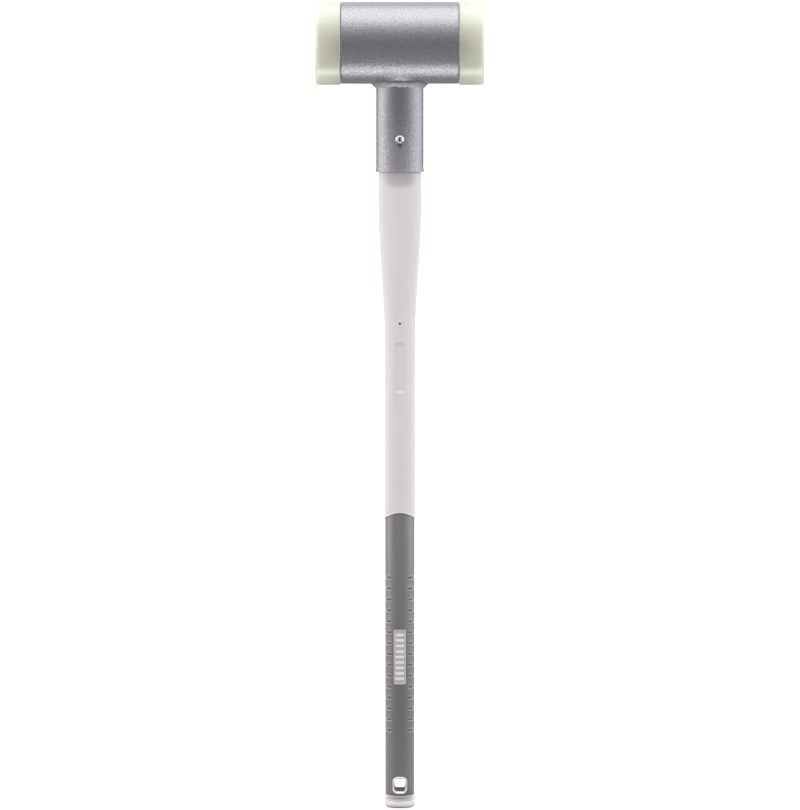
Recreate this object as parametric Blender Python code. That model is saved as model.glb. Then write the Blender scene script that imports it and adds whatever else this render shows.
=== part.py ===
"""Dead blow sledgehammer, in metres, +Z up, upright on its butt end with the origin under the handle.

A steel tube with two nylon faces holds loose shot. A socket welded under the tube takes a handle made of
a fibreglass rod in a plastic jacket, with a soft grip and an end cap that has a hanging eye.
+X runs along the head, and -Y is the front.
"""

import math

import bmesh
import bpy
from mathutils import Vector

# Striking faces: the face diameter names the hammer's size, and the tube is a little smaller
FACE_DIAMETER = 0.100
FACE_THICKNESS = 0.0303
FACE_OVERHANG = 0.00125
FACE_EDGE_RADIUS = 0.0035
FACE_BACK_RADIUS = 0.0015
SPIGOT_LENGTH = 0.020
SPIGOT_CHAMFER = 0.002

# Head tube and the discs that close its shot chamber
TUBE_LENGTH = 0.1395
TUBE_EDGE_RADIUS = 0.0012
TUBE_WALL = 0.00675
SEAT_STEP = 0.003
DISC_THICKNESS = 0.005
DISC_CHAMFER = 0.0006

# Loose shot, which keeps this much free travel each way along the head
SHOT_DIAMETER = 0.018
SHOT_COUNT = 32
SHOT_TRAVEL = 0.008

# Handle socket, an oval tube as deep as the handle it takes, and its fillet weld
SOCKET_WIDTH = 0.0566
SOCKET_WALL = 0.0023
SOCKET_LENGTH = 0.105
SOCKET_EDGE = 0.0005
SOCKET_LIP = 0.0005
SOCKET_LIP_HEIGHT = 0.005
WELD_LEG = 0.0042
WELD_DROP = 0.0075
WELD_CROWN = 0.0006

# Cross screw through the socket
SCREW_ABOVE_MOUTH = 0.040
SCREW_DIAMETER = 0.006
SCREW_HEAD_DIAMETER = 0.0104
SCREW_HEAD_HEIGHT = 0.0032
SCREW_CROWN_DIAMETER = 0.0054
SCREW_HEX = 0.004
SCREW_HEX_DEPTH = 0.0021

# Handle, measured from the butt to the socket's mouth, and its rod and jacket
HANDLE_LENGTH = 0.775
HANDLE_END_GAP = 0.003
ROD_DIAMETER = 0.018
JACKET_WALL = 0.0021
JACKET_STEP = 0.0008
OVAL_EXCESS = 0.0072
OVAL_POWER = 2.35
TAPER_TOP_BELOW_MOUTH = 0.041
TAPER_LENGTH = 0.164

# Shallow recess and pin hole on the front of the shaft
RECESS_WIDTH = 0.0122
RECESS_HEIGHT = 0.0608
RECESS_RADIUS = 0.003
RECESS_DEPTH = 0.0008
RECESS_TOP_BELOW_MOUTH = 0.2047
PIN_HOLE_DIAMETER = 0.0024
PIN_HOLE_DEPTH = 0.004
PIN_HOLE_ABOVE_RECESS = 0.023

# Soft grip, with notches along both sides
GRIP_WALL = 0.0023
GRIP_LENGTH = 0.3487
GRIP_ARCH = 0.0076
GRIP_EDGE = 0.0006
NOTCH_PITCH = 0.0134
NOTCH_RISE = 0.0022
NOTCH_DROP = 0.0006
NOTCH_DEPTH = 0.0011
NOTCH_FIRST_BELOW_TOP = 0.080
NOTCH_LAST_ABOVE_CAP = 0.0812
NOTCH_INNER_EDGE = 0.0096
NOTCH_RAMP = 0.0016

# Bare plate on the front of the grip, with plain bars across it
PLATE_WIDTH = 0.0146
PLATE_HEIGHT = 0.0674
PLATE_RADIUS = 0.0018
PLATE_ABOVE_CAP = 0.1713
PLATE_SEAT_DEPTH = 0.0017
PLATE_PROUD = 0.0004
PLATE_RELIEF = 0.0006
PLATE_RIM = 0.0022
PLATE_BARS = 9
PLATE_BAR_HEIGHT = 0.0032
FIELD_RADIUS = 0.0007

# End cap and its hanging eye
CAP_HEIGHT = 0.0157
CAP_OVERHANG = 0.001
CAP_BAND_OVERHANG = 0.0004
CAP_FLANGE_HEIGHT = 0.0078
CAP_FLANGE_TAPER = 0.0002
CAP_EDGE_RADIUS = 0.0045
CAP_GROOVE = 0.0008
CAP_TANG_ABOVE_EYE = 0.008
CAP_STUB_HEIGHT = 0.014
EYE_WIDTH = 0.0125
EYE_HEIGHT = 0.0157
EYE_RADIUS = 0.0024
EYE_RIM = 0.0026
EYE_RIM_PROUD = 0.0022
EYE_RIM_ABOVE_CAP = 0.0028

# Clearances: between seated pieces, and from a cutter to what it cuts past
FIT_GAP = 0.0003
CUT_PAST = 0.010

# Facets of round and oval forms
TURNED_SIDES = 48
SOCKET_SIDES = 40
OVAL_SIDES = 32
SCREW_SIDES = 20
PIN_HOLE_SIDES = 12
CORNER_STEPS = 4
SMALL_CORNER_STEPS = 2
DOME_STEPS = 5
TAPER_STEPS = 9
SHOT_SPLIT_STEPS = 2
SHARP_ANGLE = math.radians(32)
MERGE_DISTANCE = 1e-6

# Places worked out from the sizes above
FACE_RADIUS = FACE_DIAMETER / 2
TUBE_RADIUS = FACE_RADIUS - FACE_OVERHANG
TUBE_END = TUBE_LENGTH / 2
SEAT_RADIUS = TUBE_RADIUS - TUBE_WALL
CHAMBER_RADIUS = SEAT_RADIUS - SEAT_STEP
FACE_BACK = TUBE_END + FIT_GAP
SPIGOT_TIP = FACE_BACK - SPIGOT_LENGTH
DISC_OUTER = SPIGOT_TIP - FIT_GAP
DISC_INNER = DISC_OUTER - DISC_THICKNESS
SHOULDER = DISC_INNER - FIT_GAP
SOCKET_TOP = HANDLE_LENGTH + SOCKET_LENGTH
HEAD_LEVEL = SOCKET_TOP + TUBE_RADIUS
SCREW_LEVEL = HANDLE_LENGTH + SCREW_ABOVE_MOUTH
SCREW_HOLE_RADIUS = SCREW_DIAMETER / 2 + FIT_GAP
HANDLE_TOP = SOCKET_TOP - HANDLE_END_GAP
ROD_BORE_RADIUS = ROD_DIAMETER / 2 + FIT_GAP
EYE_LEVEL = CAP_HEIGHT + EYE_RIM_ABOVE_CAP + EYE_RIM + EYE_HEIGHT / 2
TANG_TOP = EYE_LEVEL + EYE_HEIGHT / 2 + EYE_RIM + CAP_TANG_ABOVE_EYE
STUB_TOP = TANG_TOP + CAP_STUB_HEIGHT
JACKET_BOTTOM = TANG_TOP + FIT_GAP
ROD_BOTTOM = STUB_TOP + FIT_GAP
GRIP_BOTTOM = CAP_HEIGHT + FIT_GAP
GRIP_TOP = CAP_HEIGHT + GRIP_LENGTH
PLATE_LEVEL = CAP_HEIGHT + PLATE_ABOVE_CAP
TAPER_TOP = HANDLE_LENGTH - TAPER_TOP_BELOW_MOUTH
TAPER_BOTTOM = TAPER_TOP - TAPER_LENGTH
RECESS_TOP = HANDLE_LENGTH - RECESS_TOP_BELOW_MOUTH

# Half depths of the handle's ovals, from the rod outwards: slim jacket, grip, bare shaft and end cap
SLIM_HALF = ROD_BORE_RADIUS + JACKET_WALL
GRIP_HALF = SLIM_HALF + FIT_GAP + GRIP_WALL
SHAFT_HALF = GRIP_HALF + JACKET_STEP
CAP_HALF = GRIP_HALF + CAP_OVERHANG
BAND_HALF = GRIP_HALF + CAP_BAND_OVERHANG

# Ovals where the handle fills the socket: the shaft keeps its depth there, and grows to the bore's width
BORE_HALF_WIDTH = SOCKET_WIDTH / 2 - SOCKET_WALL
BORE_HALF_DEPTH = SHAFT_HALF + FIT_GAP
SOCKET_HALF_DEPTH = BORE_HALF_DEPTH + SOCKET_WALL
TENON_EXCESS = 2 * (BORE_HALF_WIDTH - BORE_HALF_DEPTH)

# Turn that points a piece's own +Z out of the front
OUT_OF_FRONT = (math.pi / 2, 0, 0)


def clear_scene():
    for obj in list(bpy.data.objects):
        bpy.data.objects.remove(obj)


def finish(name, colour, roughness, metallic):
    """A plain Principled finish."""
    made = bpy.data.materials.new(name)
    made.use_nodes = True
    shader = made.node_tree.nodes["Principled BSDF"]
    shader.inputs["Base Color"].default_value = (*colour, 1)
    shader.inputs["Roughness"].default_value = roughness
    shader.inputs["Metallic"].default_value = metallic
    return made


def empty(name, place):
    made = bpy.data.objects.new(name, None)
    made.location = place
    bpy.context.scene.collection.objects.link(made)
    return made


def solid(name, bm, material, place=(0, 0, 0), turn=(0, 0, 0)):
    """The object of a finished bmesh, with its faces out and its round stretches smooth."""
    bmesh.ops.remove_doubles(bm, verts=bm.verts, dist=MERGE_DISTANCE)
    bmesh.ops.recalc_face_normals(bm, faces=bm.faces)
    mesh = bpy.data.meshes.new(name)
    bm.to_mesh(mesh)
    bm.free()
    mesh.shade_smooth()
    mesh.set_sharp_from_angle(angle=SHARP_ANGLE)
    obj = bpy.data.objects.new(name, mesh)
    obj.location = place
    obj.rotation_euler = turn
    bpy.context.scene.collection.objects.link(obj)
    if material:
        mesh.materials.append(material)
    return obj


def helper(obj):
    """Marks an object that only cuts or shapes others."""
    obj.hide_render = True
    obj.display_type = "WIRE"
    return obj


def shape(obj, operation, tool):
    modifier = obj.modifiers.new(f"{operation.lower()} {tool.name}", "BOOLEAN")
    modifier.operation = operation
    modifier.object = tool
    modifier.solver = "EXACT"


def corner(centre, radius, start, end, steps=CORNER_STEPS):
    """Points of an arc from one angle to another, in degrees."""
    angles = [math.radians(start + (end - start) * i / steps) for i in range(steps + 1)]
    return [(centre[0] + radius * math.cos(a), centre[1] + radius * math.sin(a)) for a in angles]


def polygon(radius, sides, middle=0.0):
    """A regular outline with one point straight up, centred on x 0 and on y middle."""
    return corner((0, middle), radius, 90, 450 - 360 / sides, sides - 1)


def rounded_outline(width, height, radius, middle=0.0, steps=CORNER_STEPS):
    """A rectangle with round corners, centred on x 0 and on y middle."""
    across = width / 2 - radius
    up = height / 2 - radius
    points = []
    for quarter, (x, y) in enumerate(((across, up), (-across, up), (-across, -up), (across, -up))):
        points += corner((x, y + middle), radius, 90 * quarter, 90 * quarter + 90, steps)
    return points


def turned(name, profile, material, sides, place=(0, 0, 0), turn=(0, 0, 0)):
    """A closed (radius, height) profile spun about the object's own Z."""
    bm = bmesh.new()
    verts = [bm.verts.new((radius, 0, height)) for radius, height in profile]
    edges = [bm.edges.new((verts[i - 1], verts[i])) for i in range(len(verts))]
    on_axis = [edge for edge in edges if max(v.co.x for v in edge.verts) < MERGE_DISTANCE]
    bmesh.ops.delete(bm, geom=on_axis, context="EDGES")
    bmesh.ops.spin(bm, geom=bm.verts[:] + bm.edges[:], cent=(0, 0, 0), axis=(0, 0, 1),
                   angle=2 * math.pi, steps=sides, use_merge=True)
    return solid(name, bm, material, place, turn)


def turned_in_head(name, profile, material, side=1):
    """A turned piece on the head's axis, its own +Z towards one end of the head."""
    turn = (0, side * math.pi / 2, 0)
    return turned(name, profile, material, TURNED_SIDES, (0, 0, HEAD_LEVEL), turn)


def lofted(name, rings, material, ring_shaped=False):
    """A skin over rings of as many points each. It joins up with its first ring, or has flat ends."""
    bm = bmesh.new()
    loops = [[bm.verts.new(point) for point in ring] for ring in rings]
    pairs = list(zip(loops, loops[1:]))
    if ring_shaped:
        pairs.append((loops[-1], loops[0]))
    else:
        bm.faces.new(loops[0])
        bm.faces.new(loops[-1])
    for low, high in pairs:
        for i in range(len(low)):
            bm.faces.new((low[i - 1], low[i], high[i], high[i - 1]))
    return solid(name, bm, material)


def front_prism(name, outlines, low, high, level, material=None):
    """Outlines that face the front at a level, extruded from one distance off the axis to another."""
    bm = bmesh.new()
    for outline in outlines:
        base = bm.faces.new([bm.verts.new((x, y, low)) for x, y in outline])
        grown = bmesh.ops.extrude_face_region(bm, geom=[base])["geom"]
        moved = [item for item in grown if isinstance(item, bmesh.types.BMVert)]
        bmesh.ops.translate(bm, verts=moved, vec=(0, 0, high - low))
    return solid(name, bm, material, (0, 0, level), OUT_OF_FRONT)


def oval_ring(half_depth, level, arch=0.0, excess=OVAL_EXCESS, power=OVAL_POWER):
    """A ring of the handle's oval, a superellipse that is wider than deep by the excess.

    Power 2 is an ellipse, and more is squarer. An arch lowers the ring's sides by that much.
    """
    half_width = half_depth + excess / 2
    ring = []
    for i in range(OVAL_SIDES):
        angle = 2 * math.pi * (i + 0.5) / OVAL_SIDES
        x = half_width * math.copysign(abs(math.cos(angle)) ** (2 / power), math.cos(angle))
        y = half_depth * math.copysign(abs(math.sin(angle)) ** (2 / power), math.sin(angle))
        drop = arch * (x / (GRIP_HALF + OVAL_EXCESS / 2)) ** 2
        ring.append(Vector((x, y, level - drop)))
    return ring


def round_ring(radius, level):
    return oval_ring(radius, level, excess=0, power=2)


def socket_ring(grow, level_at):
    """A ring of the socket's bore, an ellipse, grown outward, at the level that a function gives for its y."""
    ring = []
    for i in range(SOCKET_SIDES):
        angle = 2 * math.pi * i / SOCKET_SIDES
        x = (BORE_HALF_WIDTH + grow) * math.cos(angle)
        y = (BORE_HALF_DEPTH + grow) * math.sin(angle)
        ring.append(Vector((x, y, level_at(y))))
    return ring


def under_tube(y):
    """Level just clear of the head tube's underside, over a point this far in front of or behind its middle."""
    return HEAD_LEVEL - math.sqrt(TUBE_RADIUS ** 2 - y ** 2) - FIT_GAP


def ease(share):
    """Smooth step from 0 to 1."""
    return share * share * (3 - 2 * share)


def make_head_tube(paint):
    """Steel tube, counterbored at both ends for a disc and a face's spigot."""
    r = TUBE_EDGE_RADIUS
    half = [(CHAMBER_RADIUS, SHOULDER), (SEAT_RADIUS, SHOULDER), (SEAT_RADIUS, TUBE_END)]
    half += corner((TUBE_RADIUS - r, TUBE_END - r), r, 90, 0, SMALL_CORNER_STEPS)
    profile = half + [(radius, -along) for radius, along in reversed(half)]
    return turned_in_head("head_tube", profile, paint)


def make_face(name, side, nylon):
    """Nylon face, with a spigot that plugs into the tube."""
    spigot = SEAT_RADIUS - FIT_GAP
    front = FACE_BACK + FACE_THICKNESS
    back_r = FACE_BACK_RADIUS
    edge_r = FACE_EDGE_RADIUS
    profile = [(0, SPIGOT_TIP), (spigot - SPIGOT_CHAMFER, SPIGOT_TIP)]
    profile += [(spigot, SPIGOT_TIP + SPIGOT_CHAMFER), (spigot, FACE_BACK)]
    profile += corner((FACE_RADIUS - back_r, FACE_BACK + back_r), back_r, -90, 0, SMALL_CORNER_STEPS)
    profile += corner((FACE_RADIUS - edge_r, front - edge_r), edge_r, 0, 90)
    profile += [(0, front)]
    return turned_in_head(name, profile, nylon, side)


def make_disc(name, side, steel):
    """Steel disc that seats on the shoulder of the bore and closes the shot chamber."""
    rim = SEAT_RADIUS - FIT_GAP
    c = DISC_CHAMFER
    profile = [(0, DISC_INNER), (rim - c, DISC_INNER), (rim, DISC_INNER + c)]
    profile += [(rim, DISC_OUTER - c), (rim - c, DISC_OUTER), (0, DISC_OUTER)]
    return turned_in_head(name, profile, steel, side)


def shot_places():
    """Places of the shot about the head's centre: layers of rings across the chamber, filled from below."""
    pitch = SHOT_DIAMETER + FIT_GAP
    room = 2 * (DISC_INNER - SHOT_TRAVEL - FIT_GAP) - SHOT_DIAMETER
    layers = int(room / pitch) + 1
    places = []
    reach = CHAMBER_RADIUS - FIT_GAP - SHOT_DIAMETER / 2
    while reach > pitch / 2:
        count = int(math.pi / math.asin(pitch / 2 / reach))
        for i in range(count):
            angle = 2 * math.pi * i / count - math.pi / 2
            for layer in range(layers):
                along = (layer - (layers - 1) / 2) * pitch
                places.append(Vector((along, reach * math.cos(angle), reach * math.sin(angle))))
        reach -= pitch
    lowest_first = sorted(places, key=lambda place: round(place.z / FIT_GAP))
    return lowest_first[:SHOT_COUNT]


def make_shot(steel, charge):
    for number, place in enumerate(shot_places(), 1):
        bm = bmesh.new()
        bmesh.ops.create_icosphere(bm, subdivisions=SHOT_SPLIT_STEPS, radius=SHOT_DIAMETER / 2)
        solid(f"shot_{number:02d}", bm, steel, place).parent = charge


def make_socket(paint):
    """Oval tube with a slight lip at its mouth, its top coped to the head tube."""
    lip = SOCKET_WALL + SOCKET_LIP
    low_end = [(0, 0), (lip - SOCKET_EDGE, 0), (lip, SOCKET_EDGE), (SOCKET_WALL, SOCKET_LIP_HEIGHT)]
    rings = [socket_ring(grow, lambda _, rise=rise: HANDLE_LENGTH + rise) for grow, rise in low_end]
    rings += [socket_ring(grow, under_tube) for grow in (SOCKET_WALL, 0)]
    return lofted("handle_socket", rings, paint, ring_shaped=True)


def make_weld(paint):
    """Fillet bead in the corner between the socket and the head tube."""
    root = SOCKET_WALL + FIT_GAP
    toe = SOCKET_WALL + WELD_LEG
    rings = [socket_ring(grow, under_tube) for grow in (root, (root + toe) / 2, toe)]
    foot = [point - Vector((0, 0, WELD_DROP)) for point in rings[0]]
    crown = []
    for low, high in zip(foot, rings[2]):
        out = Vector((high.x - low.x, high.y - low.y, 0)).normalized()
        crown.append((low + high) / 2 + out * WELD_CROWN)
    rings += [crown, foot]
    return lofted("socket_weld", rings, paint, ring_shaped=True)


def make_screw(zinc):
    """Button head screw with a hexagon socket, through the handle socket's front wall into its back wall."""
    seat = SOCKET_HALF_DEPTH + FIT_GAP
    top = seat + SCREW_HEAD_HEIGHT
    shank = SCREW_DIAMETER / 2
    crown = SCREW_CROWN_DIAMETER / 2
    overhang = SCREW_HEAD_DIAMETER / 2 - crown
    end = -SOCKET_HALF_DEPTH
    profile = [(0, end), (shank - FIT_GAP, end), (shank, end + FIT_GAP), (shank, seat)]
    profile += [(crown + overhang * out, seat + SCREW_HEAD_HEIGHT * up)
                for out, up in corner((0, 0), 1, 0, 90, DOME_STEPS)]
    profile += [(0, top)]
    screw = turned("handle_screw", profile, zinc, SCREW_SIDES, (0, 0, SCREW_LEVEL), OUT_OF_FRONT)
    hexagon = polygon(SCREW_HEX / math.sqrt(3), 6)
    tool = front_prism("cut_hexagon", [hexagon], top - SCREW_HEX_DEPTH, top + CUT_PAST, SCREW_LEVEL)
    shape(screw, "DIFFERENCE", helper(tool))
    return screw


def make_screw_hole_tool():
    """Cutter for the screw's hole, right through the handle socket."""
    end = SOCKET_HALF_DEPTH + CUT_PAST
    profile = [(0, -end), (SCREW_HOLE_RADIUS, -end), (SCREW_HOLE_RADIUS, end), (0, end)]
    return helper(turned("cut_screw_hole", profile, None, SCREW_SIDES, (0, 0, SCREW_LEVEL), OUT_OF_FRONT))


def make_rod(fibreglass):
    c = FIT_GAP
    rim = ROD_DIAMETER / 2
    profile = [(0, ROD_BOTTOM), (rim - c, ROD_BOTTOM), (rim, ROD_BOTTOM + c)]
    profile += [(rim, HANDLE_TOP - c), (rim - c, HANDLE_TOP), (0, HANDLE_TOP)]
    return turned("fibreglass_rod", profile, fibreglass, OVAL_SIDES)


def make_jacket(plastic):
    """Plastic jacket: slim under the grip, fuller along the shaft, and widest where it fills the socket."""
    edge = GRIP_EDGE
    rings = [oval_ring(SLIM_HALF, JACKET_BOTTOM), oval_ring(SLIM_HALF, GRIP_TOP, GRIP_ARCH)]
    rings += [oval_ring(SHAFT_HALF - edge, GRIP_TOP, GRIP_ARCH)]
    rings += [oval_ring(SHAFT_HALF, GRIP_TOP + edge, GRIP_ARCH)]
    for step in range(TAPER_STEPS + 1):
        share = ease(step / TAPER_STEPS)
        level = TAPER_BOTTOM + TAPER_LENGTH * step / TAPER_STEPS
        excess = OVAL_EXCESS + (TENON_EXCESS - OVAL_EXCESS) * share
        power = OVAL_POWER + (2 - OVAL_POWER) * share
        rings.append(oval_ring(SHAFT_HALF, level, excess=excess, power=power))
    rings += [oval_ring(SHAFT_HALF, HANDLE_TOP - edge, excess=TENON_EXCESS, power=2)]
    rings += [oval_ring(SHAFT_HALF - edge, HANDLE_TOP, excess=TENON_EXCESS, power=2)]
    rings += [round_ring(ROD_BORE_RADIUS, level) for level in (HANDLE_TOP, JACKET_BOTTOM)]
    jacket = lofted("handle_jacket", rings, plastic, ring_shaped=True)

    past = SHAFT_HALF + CUT_PAST
    recess = rounded_outline(RECESS_WIDTH, RECESS_HEIGHT, RECESS_RADIUS, -RECESS_HEIGHT / 2)
    tool = front_prism("cut_recess", [recess], SHAFT_HALF - RECESS_DEPTH, past, RECESS_TOP)
    shape(jacket, "DIFFERENCE", helper(tool))
    hole = polygon(PIN_HOLE_DIAMETER / 2, PIN_HOLE_SIDES, PIN_HOLE_ABOVE_RECESS)
    tool = front_prism("cut_pin_hole", [hole], SHAFT_HALF - PIN_HOLE_DEPTH, past, RECESS_TOP)
    shape(jacket, "DIFFERENCE", helper(tool))
    return jacket


def notched_ring(level, depth):
    """A ring of the grip's outside, pressed in by the depth along its two sides."""
    ring = oval_ring(GRIP_HALF, level)
    for point in ring:
        share = min(max((abs(point.x) - NOTCH_INNER_EDGE) / NOTCH_RAMP, 0), 1)
        inward = -Vector((point.x, point.y, 0)).normalized()
        point += inward * depth * share
    return ring


def make_grip(rubber):
    """Soft sleeve over the jacket and the cap's tang, with notched sides and an arched top edge.

    Each notch falls in steeply from its lower lip and comes out gently above it.
    """
    edge = GRIP_EDGE
    rings = [oval_ring(GRIP_HALF - edge, GRIP_BOTTOM), oval_ring(GRIP_HALF, GRIP_BOTTOM + edge)]
    highest = GRIP_TOP - NOTCH_FIRST_BELOW_TOP
    stretch = highest - CAP_HEIGHT - NOTCH_LAST_ABOVE_CAP
    for i in reversed(range(round(stretch / NOTCH_PITCH) + 1)):
        level = highest - i * NOTCH_PITCH
        rings += [notched_ring(level - NOTCH_DROP, 0), notched_ring(level, NOTCH_DEPTH)]
        rings += [notched_ring(level + NOTCH_RISE, 0)]
    crest = GRIP_TOP - FIT_GAP
    rings += [oval_ring(GRIP_HALF, crest - edge, GRIP_ARCH), oval_ring(GRIP_HALF - edge, crest, GRIP_ARCH)]
    inside = SLIM_HALF + FIT_GAP
    rings += [oval_ring(inside, crest, GRIP_ARCH), oval_ring(inside, GRIP_BOTTOM)]
    grip = lofted("grip_sleeve", rings, rubber, ring_shaped=True)

    past = GRIP_HALF + CUT_PAST
    pocket = plate_outline(FIT_GAP)
    tool = front_prism("cut_plate_pocket", [pocket], GRIP_HALF - PLATE_SEAT_DEPTH, past, PLATE_LEVEL)
    shape(grip, "DIFFERENCE", helper(tool))
    window = eye_outline(EYE_RIM + FIT_GAP)
    tool = front_prism("cut_eye_windows", [window], -past, past, EYE_LEVEL)
    shape(grip, "DIFFERENCE", helper(tool))
    return grip


def plate_outline(grow):
    """The grip plate's outline, grown outward."""
    return rounded_outline(PLATE_WIDTH + 2 * grow, PLATE_HEIGHT + 2 * grow, PLATE_RADIUS + grow)


def make_crown(name, grow):
    """Helper: a bar with the grip's oval, grown outward, that gives the plate the grip's curve."""
    reach = PLATE_HEIGHT / 2 + CUT_PAST
    rings = [oval_ring(GRIP_HALF + grow, PLATE_LEVEL + end * reach) for end in (-1, 1)]
    return helper(lofted(name, rings, None))


def make_plate(plastic):
    """Bare plate, crowned to the grip, with a rim and plain bars standing above its sunk fields."""
    back = GRIP_HALF - PLATE_SEAT_DEPTH + FIT_GAP
    past = GRIP_HALF + CUT_PAST
    plate = front_prism("grip_plate", [plate_outline(0)], back, past, PLATE_LEVEL, plastic)
    shape(plate, "INTERSECT", make_crown("plate_crown", PLATE_PROUD))
    width = PLATE_WIDTH - 2 * PLATE_RIM
    pitch = (PLATE_HEIGHT - 2 * PLATE_RIM + PLATE_BAR_HEIGHT) / (PLATE_BARS + 1)
    height = pitch - PLATE_BAR_HEIGHT
    middles = [(i - PLATE_BARS / 2) * pitch for i in range(PLATE_BARS + 1)]
    outlines = [rounded_outline(width, height, FIELD_RADIUS, m, SMALL_CORNER_STEPS) for m in middles]
    fields = helper(front_prism("cut_plate_fields", outlines, back, past, PLATE_LEVEL))
    shape(fields, "DIFFERENCE", make_crown("plate_field_crown", PLATE_PROUD - PLATE_RELIEF))
    shape(plate, "DIFFERENCE", fields)
    return plate


def eye_outline(grow):
    """The hanging eye's outline, grown outward."""
    return rounded_outline(EYE_WIDTH + 2 * grow, EYE_HEIGHT + 2 * grow, EYE_RADIUS + grow)


def make_end_cap(plastic):
    """End cap: a flange under the grip, a tang inside it with the hanging eye, and a stub in the jacket."""
    r = CAP_EDGE_RADIUS
    rings = [oval_ring(CAP_HALF - r + out, r + up) for out, up in corner((0, 0), r, -90, 0)]
    rings += [oval_ring(CAP_HALF - CAP_FLANGE_TAPER, CAP_FLANGE_HEIGHT)]
    rings += [oval_ring(BAND_HALF - CAP_GROOVE, CAP_FLANGE_HEIGHT + CAP_GROOVE)]
    rings += [oval_ring(BAND_HALF, CAP_FLANGE_HEIGHT + 2 * CAP_GROOVE), oval_ring(BAND_HALF, CAP_HEIGHT)]
    rings += [oval_ring(SLIM_HALF, level) for level in (CAP_HEIGHT, TANG_TOP)]
    rings += [round_ring(ROD_BORE_RADIUS - FIT_GAP, level) for level in (TANG_TOP, STUB_TOP)]
    cap = lofted("end_cap", rings, plastic)

    rim = GRIP_HALF + EYE_RIM_PROUD
    boss = front_prism("join_eye_boss", [eye_outline(EYE_RIM)], -rim, rim, EYE_LEVEL)
    shape(cap, "UNION", helper(boss))
    past = rim + CUT_PAST
    shape(cap, "DIFFERENCE", helper(front_prism("cut_eye", [eye_outline(0)], -past, past, EYE_LEVEL)))
    return cap


def main():
    clear_scene()
    paint = finish("silver_paint", (0.42, 0.42, 0.44), 0.38, 0.75)
    nylon = finish("ivory_nylon", (0.86, 0.87, 0.74), 0.42, 0.0)
    steel = finish("plain_steel", (0.50, 0.49, 0.47), 0.35, 1.0)
    zinc = finish("zinc_plate", (0.74, 0.74, 0.72), 0.22, 1.0)
    fibreglass = finish("fibreglass", (0.76, 0.70, 0.48), 0.5, 0.0)
    milky = finish("milky_plastic", (0.80, 0.76, 0.75), 0.4, 0.0)
    white = finish("white_plastic", (0.85, 0.83, 0.81), 0.3, 0.0)
    rubber = finish("grey_rubber", (0.16, 0.155, 0.16), 0.7, 0.0)

    hammer = empty("hammer", (0, 0, 0))
    charge = empty("shot_charge", (0, 0, HEAD_LEVEL))
    charge.parent = hammer
    make_shot(steel, charge)

    pieces = [make_head_tube(paint), make_weld(paint), make_screw(zinc)]
    for name, side in (("left", -1), ("right", 1)):
        pieces += [make_face(f"{name}_face", side, nylon), make_disc(f"{name}_disc", side, steel)]
    drilled = [make_socket(paint), make_jacket(milky), make_rod(fibreglass)]
    hole_tool = make_screw_hole_tool()
    for piece in drilled:
        shape(piece, "DIFFERENCE", hole_tool)
    pieces += drilled + [make_grip(rubber), make_plate(white), make_end_cap(white)]
    for piece in pieces:
        piece.parent = hammer


main()
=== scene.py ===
"""Looks of a dead blow sledgehammer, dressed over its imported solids.

Metres, +Z up. The head lies along X, and -Y is the front, where the camera stands.
"""

import math

import bmesh
import bpy
import numpy as np
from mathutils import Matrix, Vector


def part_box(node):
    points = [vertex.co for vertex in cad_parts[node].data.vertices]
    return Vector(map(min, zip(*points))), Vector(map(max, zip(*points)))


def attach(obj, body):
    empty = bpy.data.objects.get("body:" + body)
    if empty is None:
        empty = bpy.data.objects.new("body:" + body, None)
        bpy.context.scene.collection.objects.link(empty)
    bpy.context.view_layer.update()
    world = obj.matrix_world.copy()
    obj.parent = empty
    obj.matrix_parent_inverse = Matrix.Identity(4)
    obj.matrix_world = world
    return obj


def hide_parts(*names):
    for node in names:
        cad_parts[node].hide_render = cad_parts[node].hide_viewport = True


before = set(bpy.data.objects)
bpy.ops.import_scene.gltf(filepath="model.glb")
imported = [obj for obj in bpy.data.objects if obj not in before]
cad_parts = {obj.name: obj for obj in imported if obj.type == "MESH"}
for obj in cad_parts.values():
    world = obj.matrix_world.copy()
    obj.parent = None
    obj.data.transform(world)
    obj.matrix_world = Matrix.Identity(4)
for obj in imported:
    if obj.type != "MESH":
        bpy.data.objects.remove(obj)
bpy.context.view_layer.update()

MM = 0.001
FIT_GAP = 0.3 * MM


def measured(node):
    """Lowest and highest corner of a CAD node's box, to a hundredth of a millimetre."""
    return [[round(value, 5) for value in corner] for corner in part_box(node)]


# Head: steel tube and nylon faces, turned about an axis along X
tube_low, tube_high = measured("head_tube")
face_low, face_high = measured("right_face")
disc_low, disc_high = measured("right_disc")
shot_low, shot_high = measured("shot_01")
HEAD_LEVEL = (tube_low[2] + tube_high[2]) / 2
TUBE_RADIUS = (tube_high[2] - tube_low[2]) / 2
SEAM_SHIFT = 0.4 * MM
TUBE_END = tube_high[0] + SEAM_SHIFT
TUBE_EDGE_RADIUS = 1.2 * MM
SEAT_RADIUS = (disc_high[2] - disc_low[2]) / 2 + FIT_GAP
SEAT_CHAMFER = 0.6 * MM
CHAMBER_RADIUS = 39 * MM
SHOULDER = disc_low[0] - FIT_GAP
FACE_RADIUS = (face_high[2] - face_low[2]) / 2
FACE_BACK = TUBE_END + FIT_GAP
FACE_FRONT = face_high[0]
FACE_EDGE_RADIUS = 3.5 * MM
FACE_BACK_RADIUS = 1.5 * MM
SPIGOT_RADIUS = SEAT_RADIUS - FIT_GAP
SPIGOT_TIP = face_low[0]
SPIGOT_CHAMFER = 2 * MM
SHOT_DIAMETER = shot_high[2] - shot_low[2]
SHOT_COUNT = 32

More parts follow.
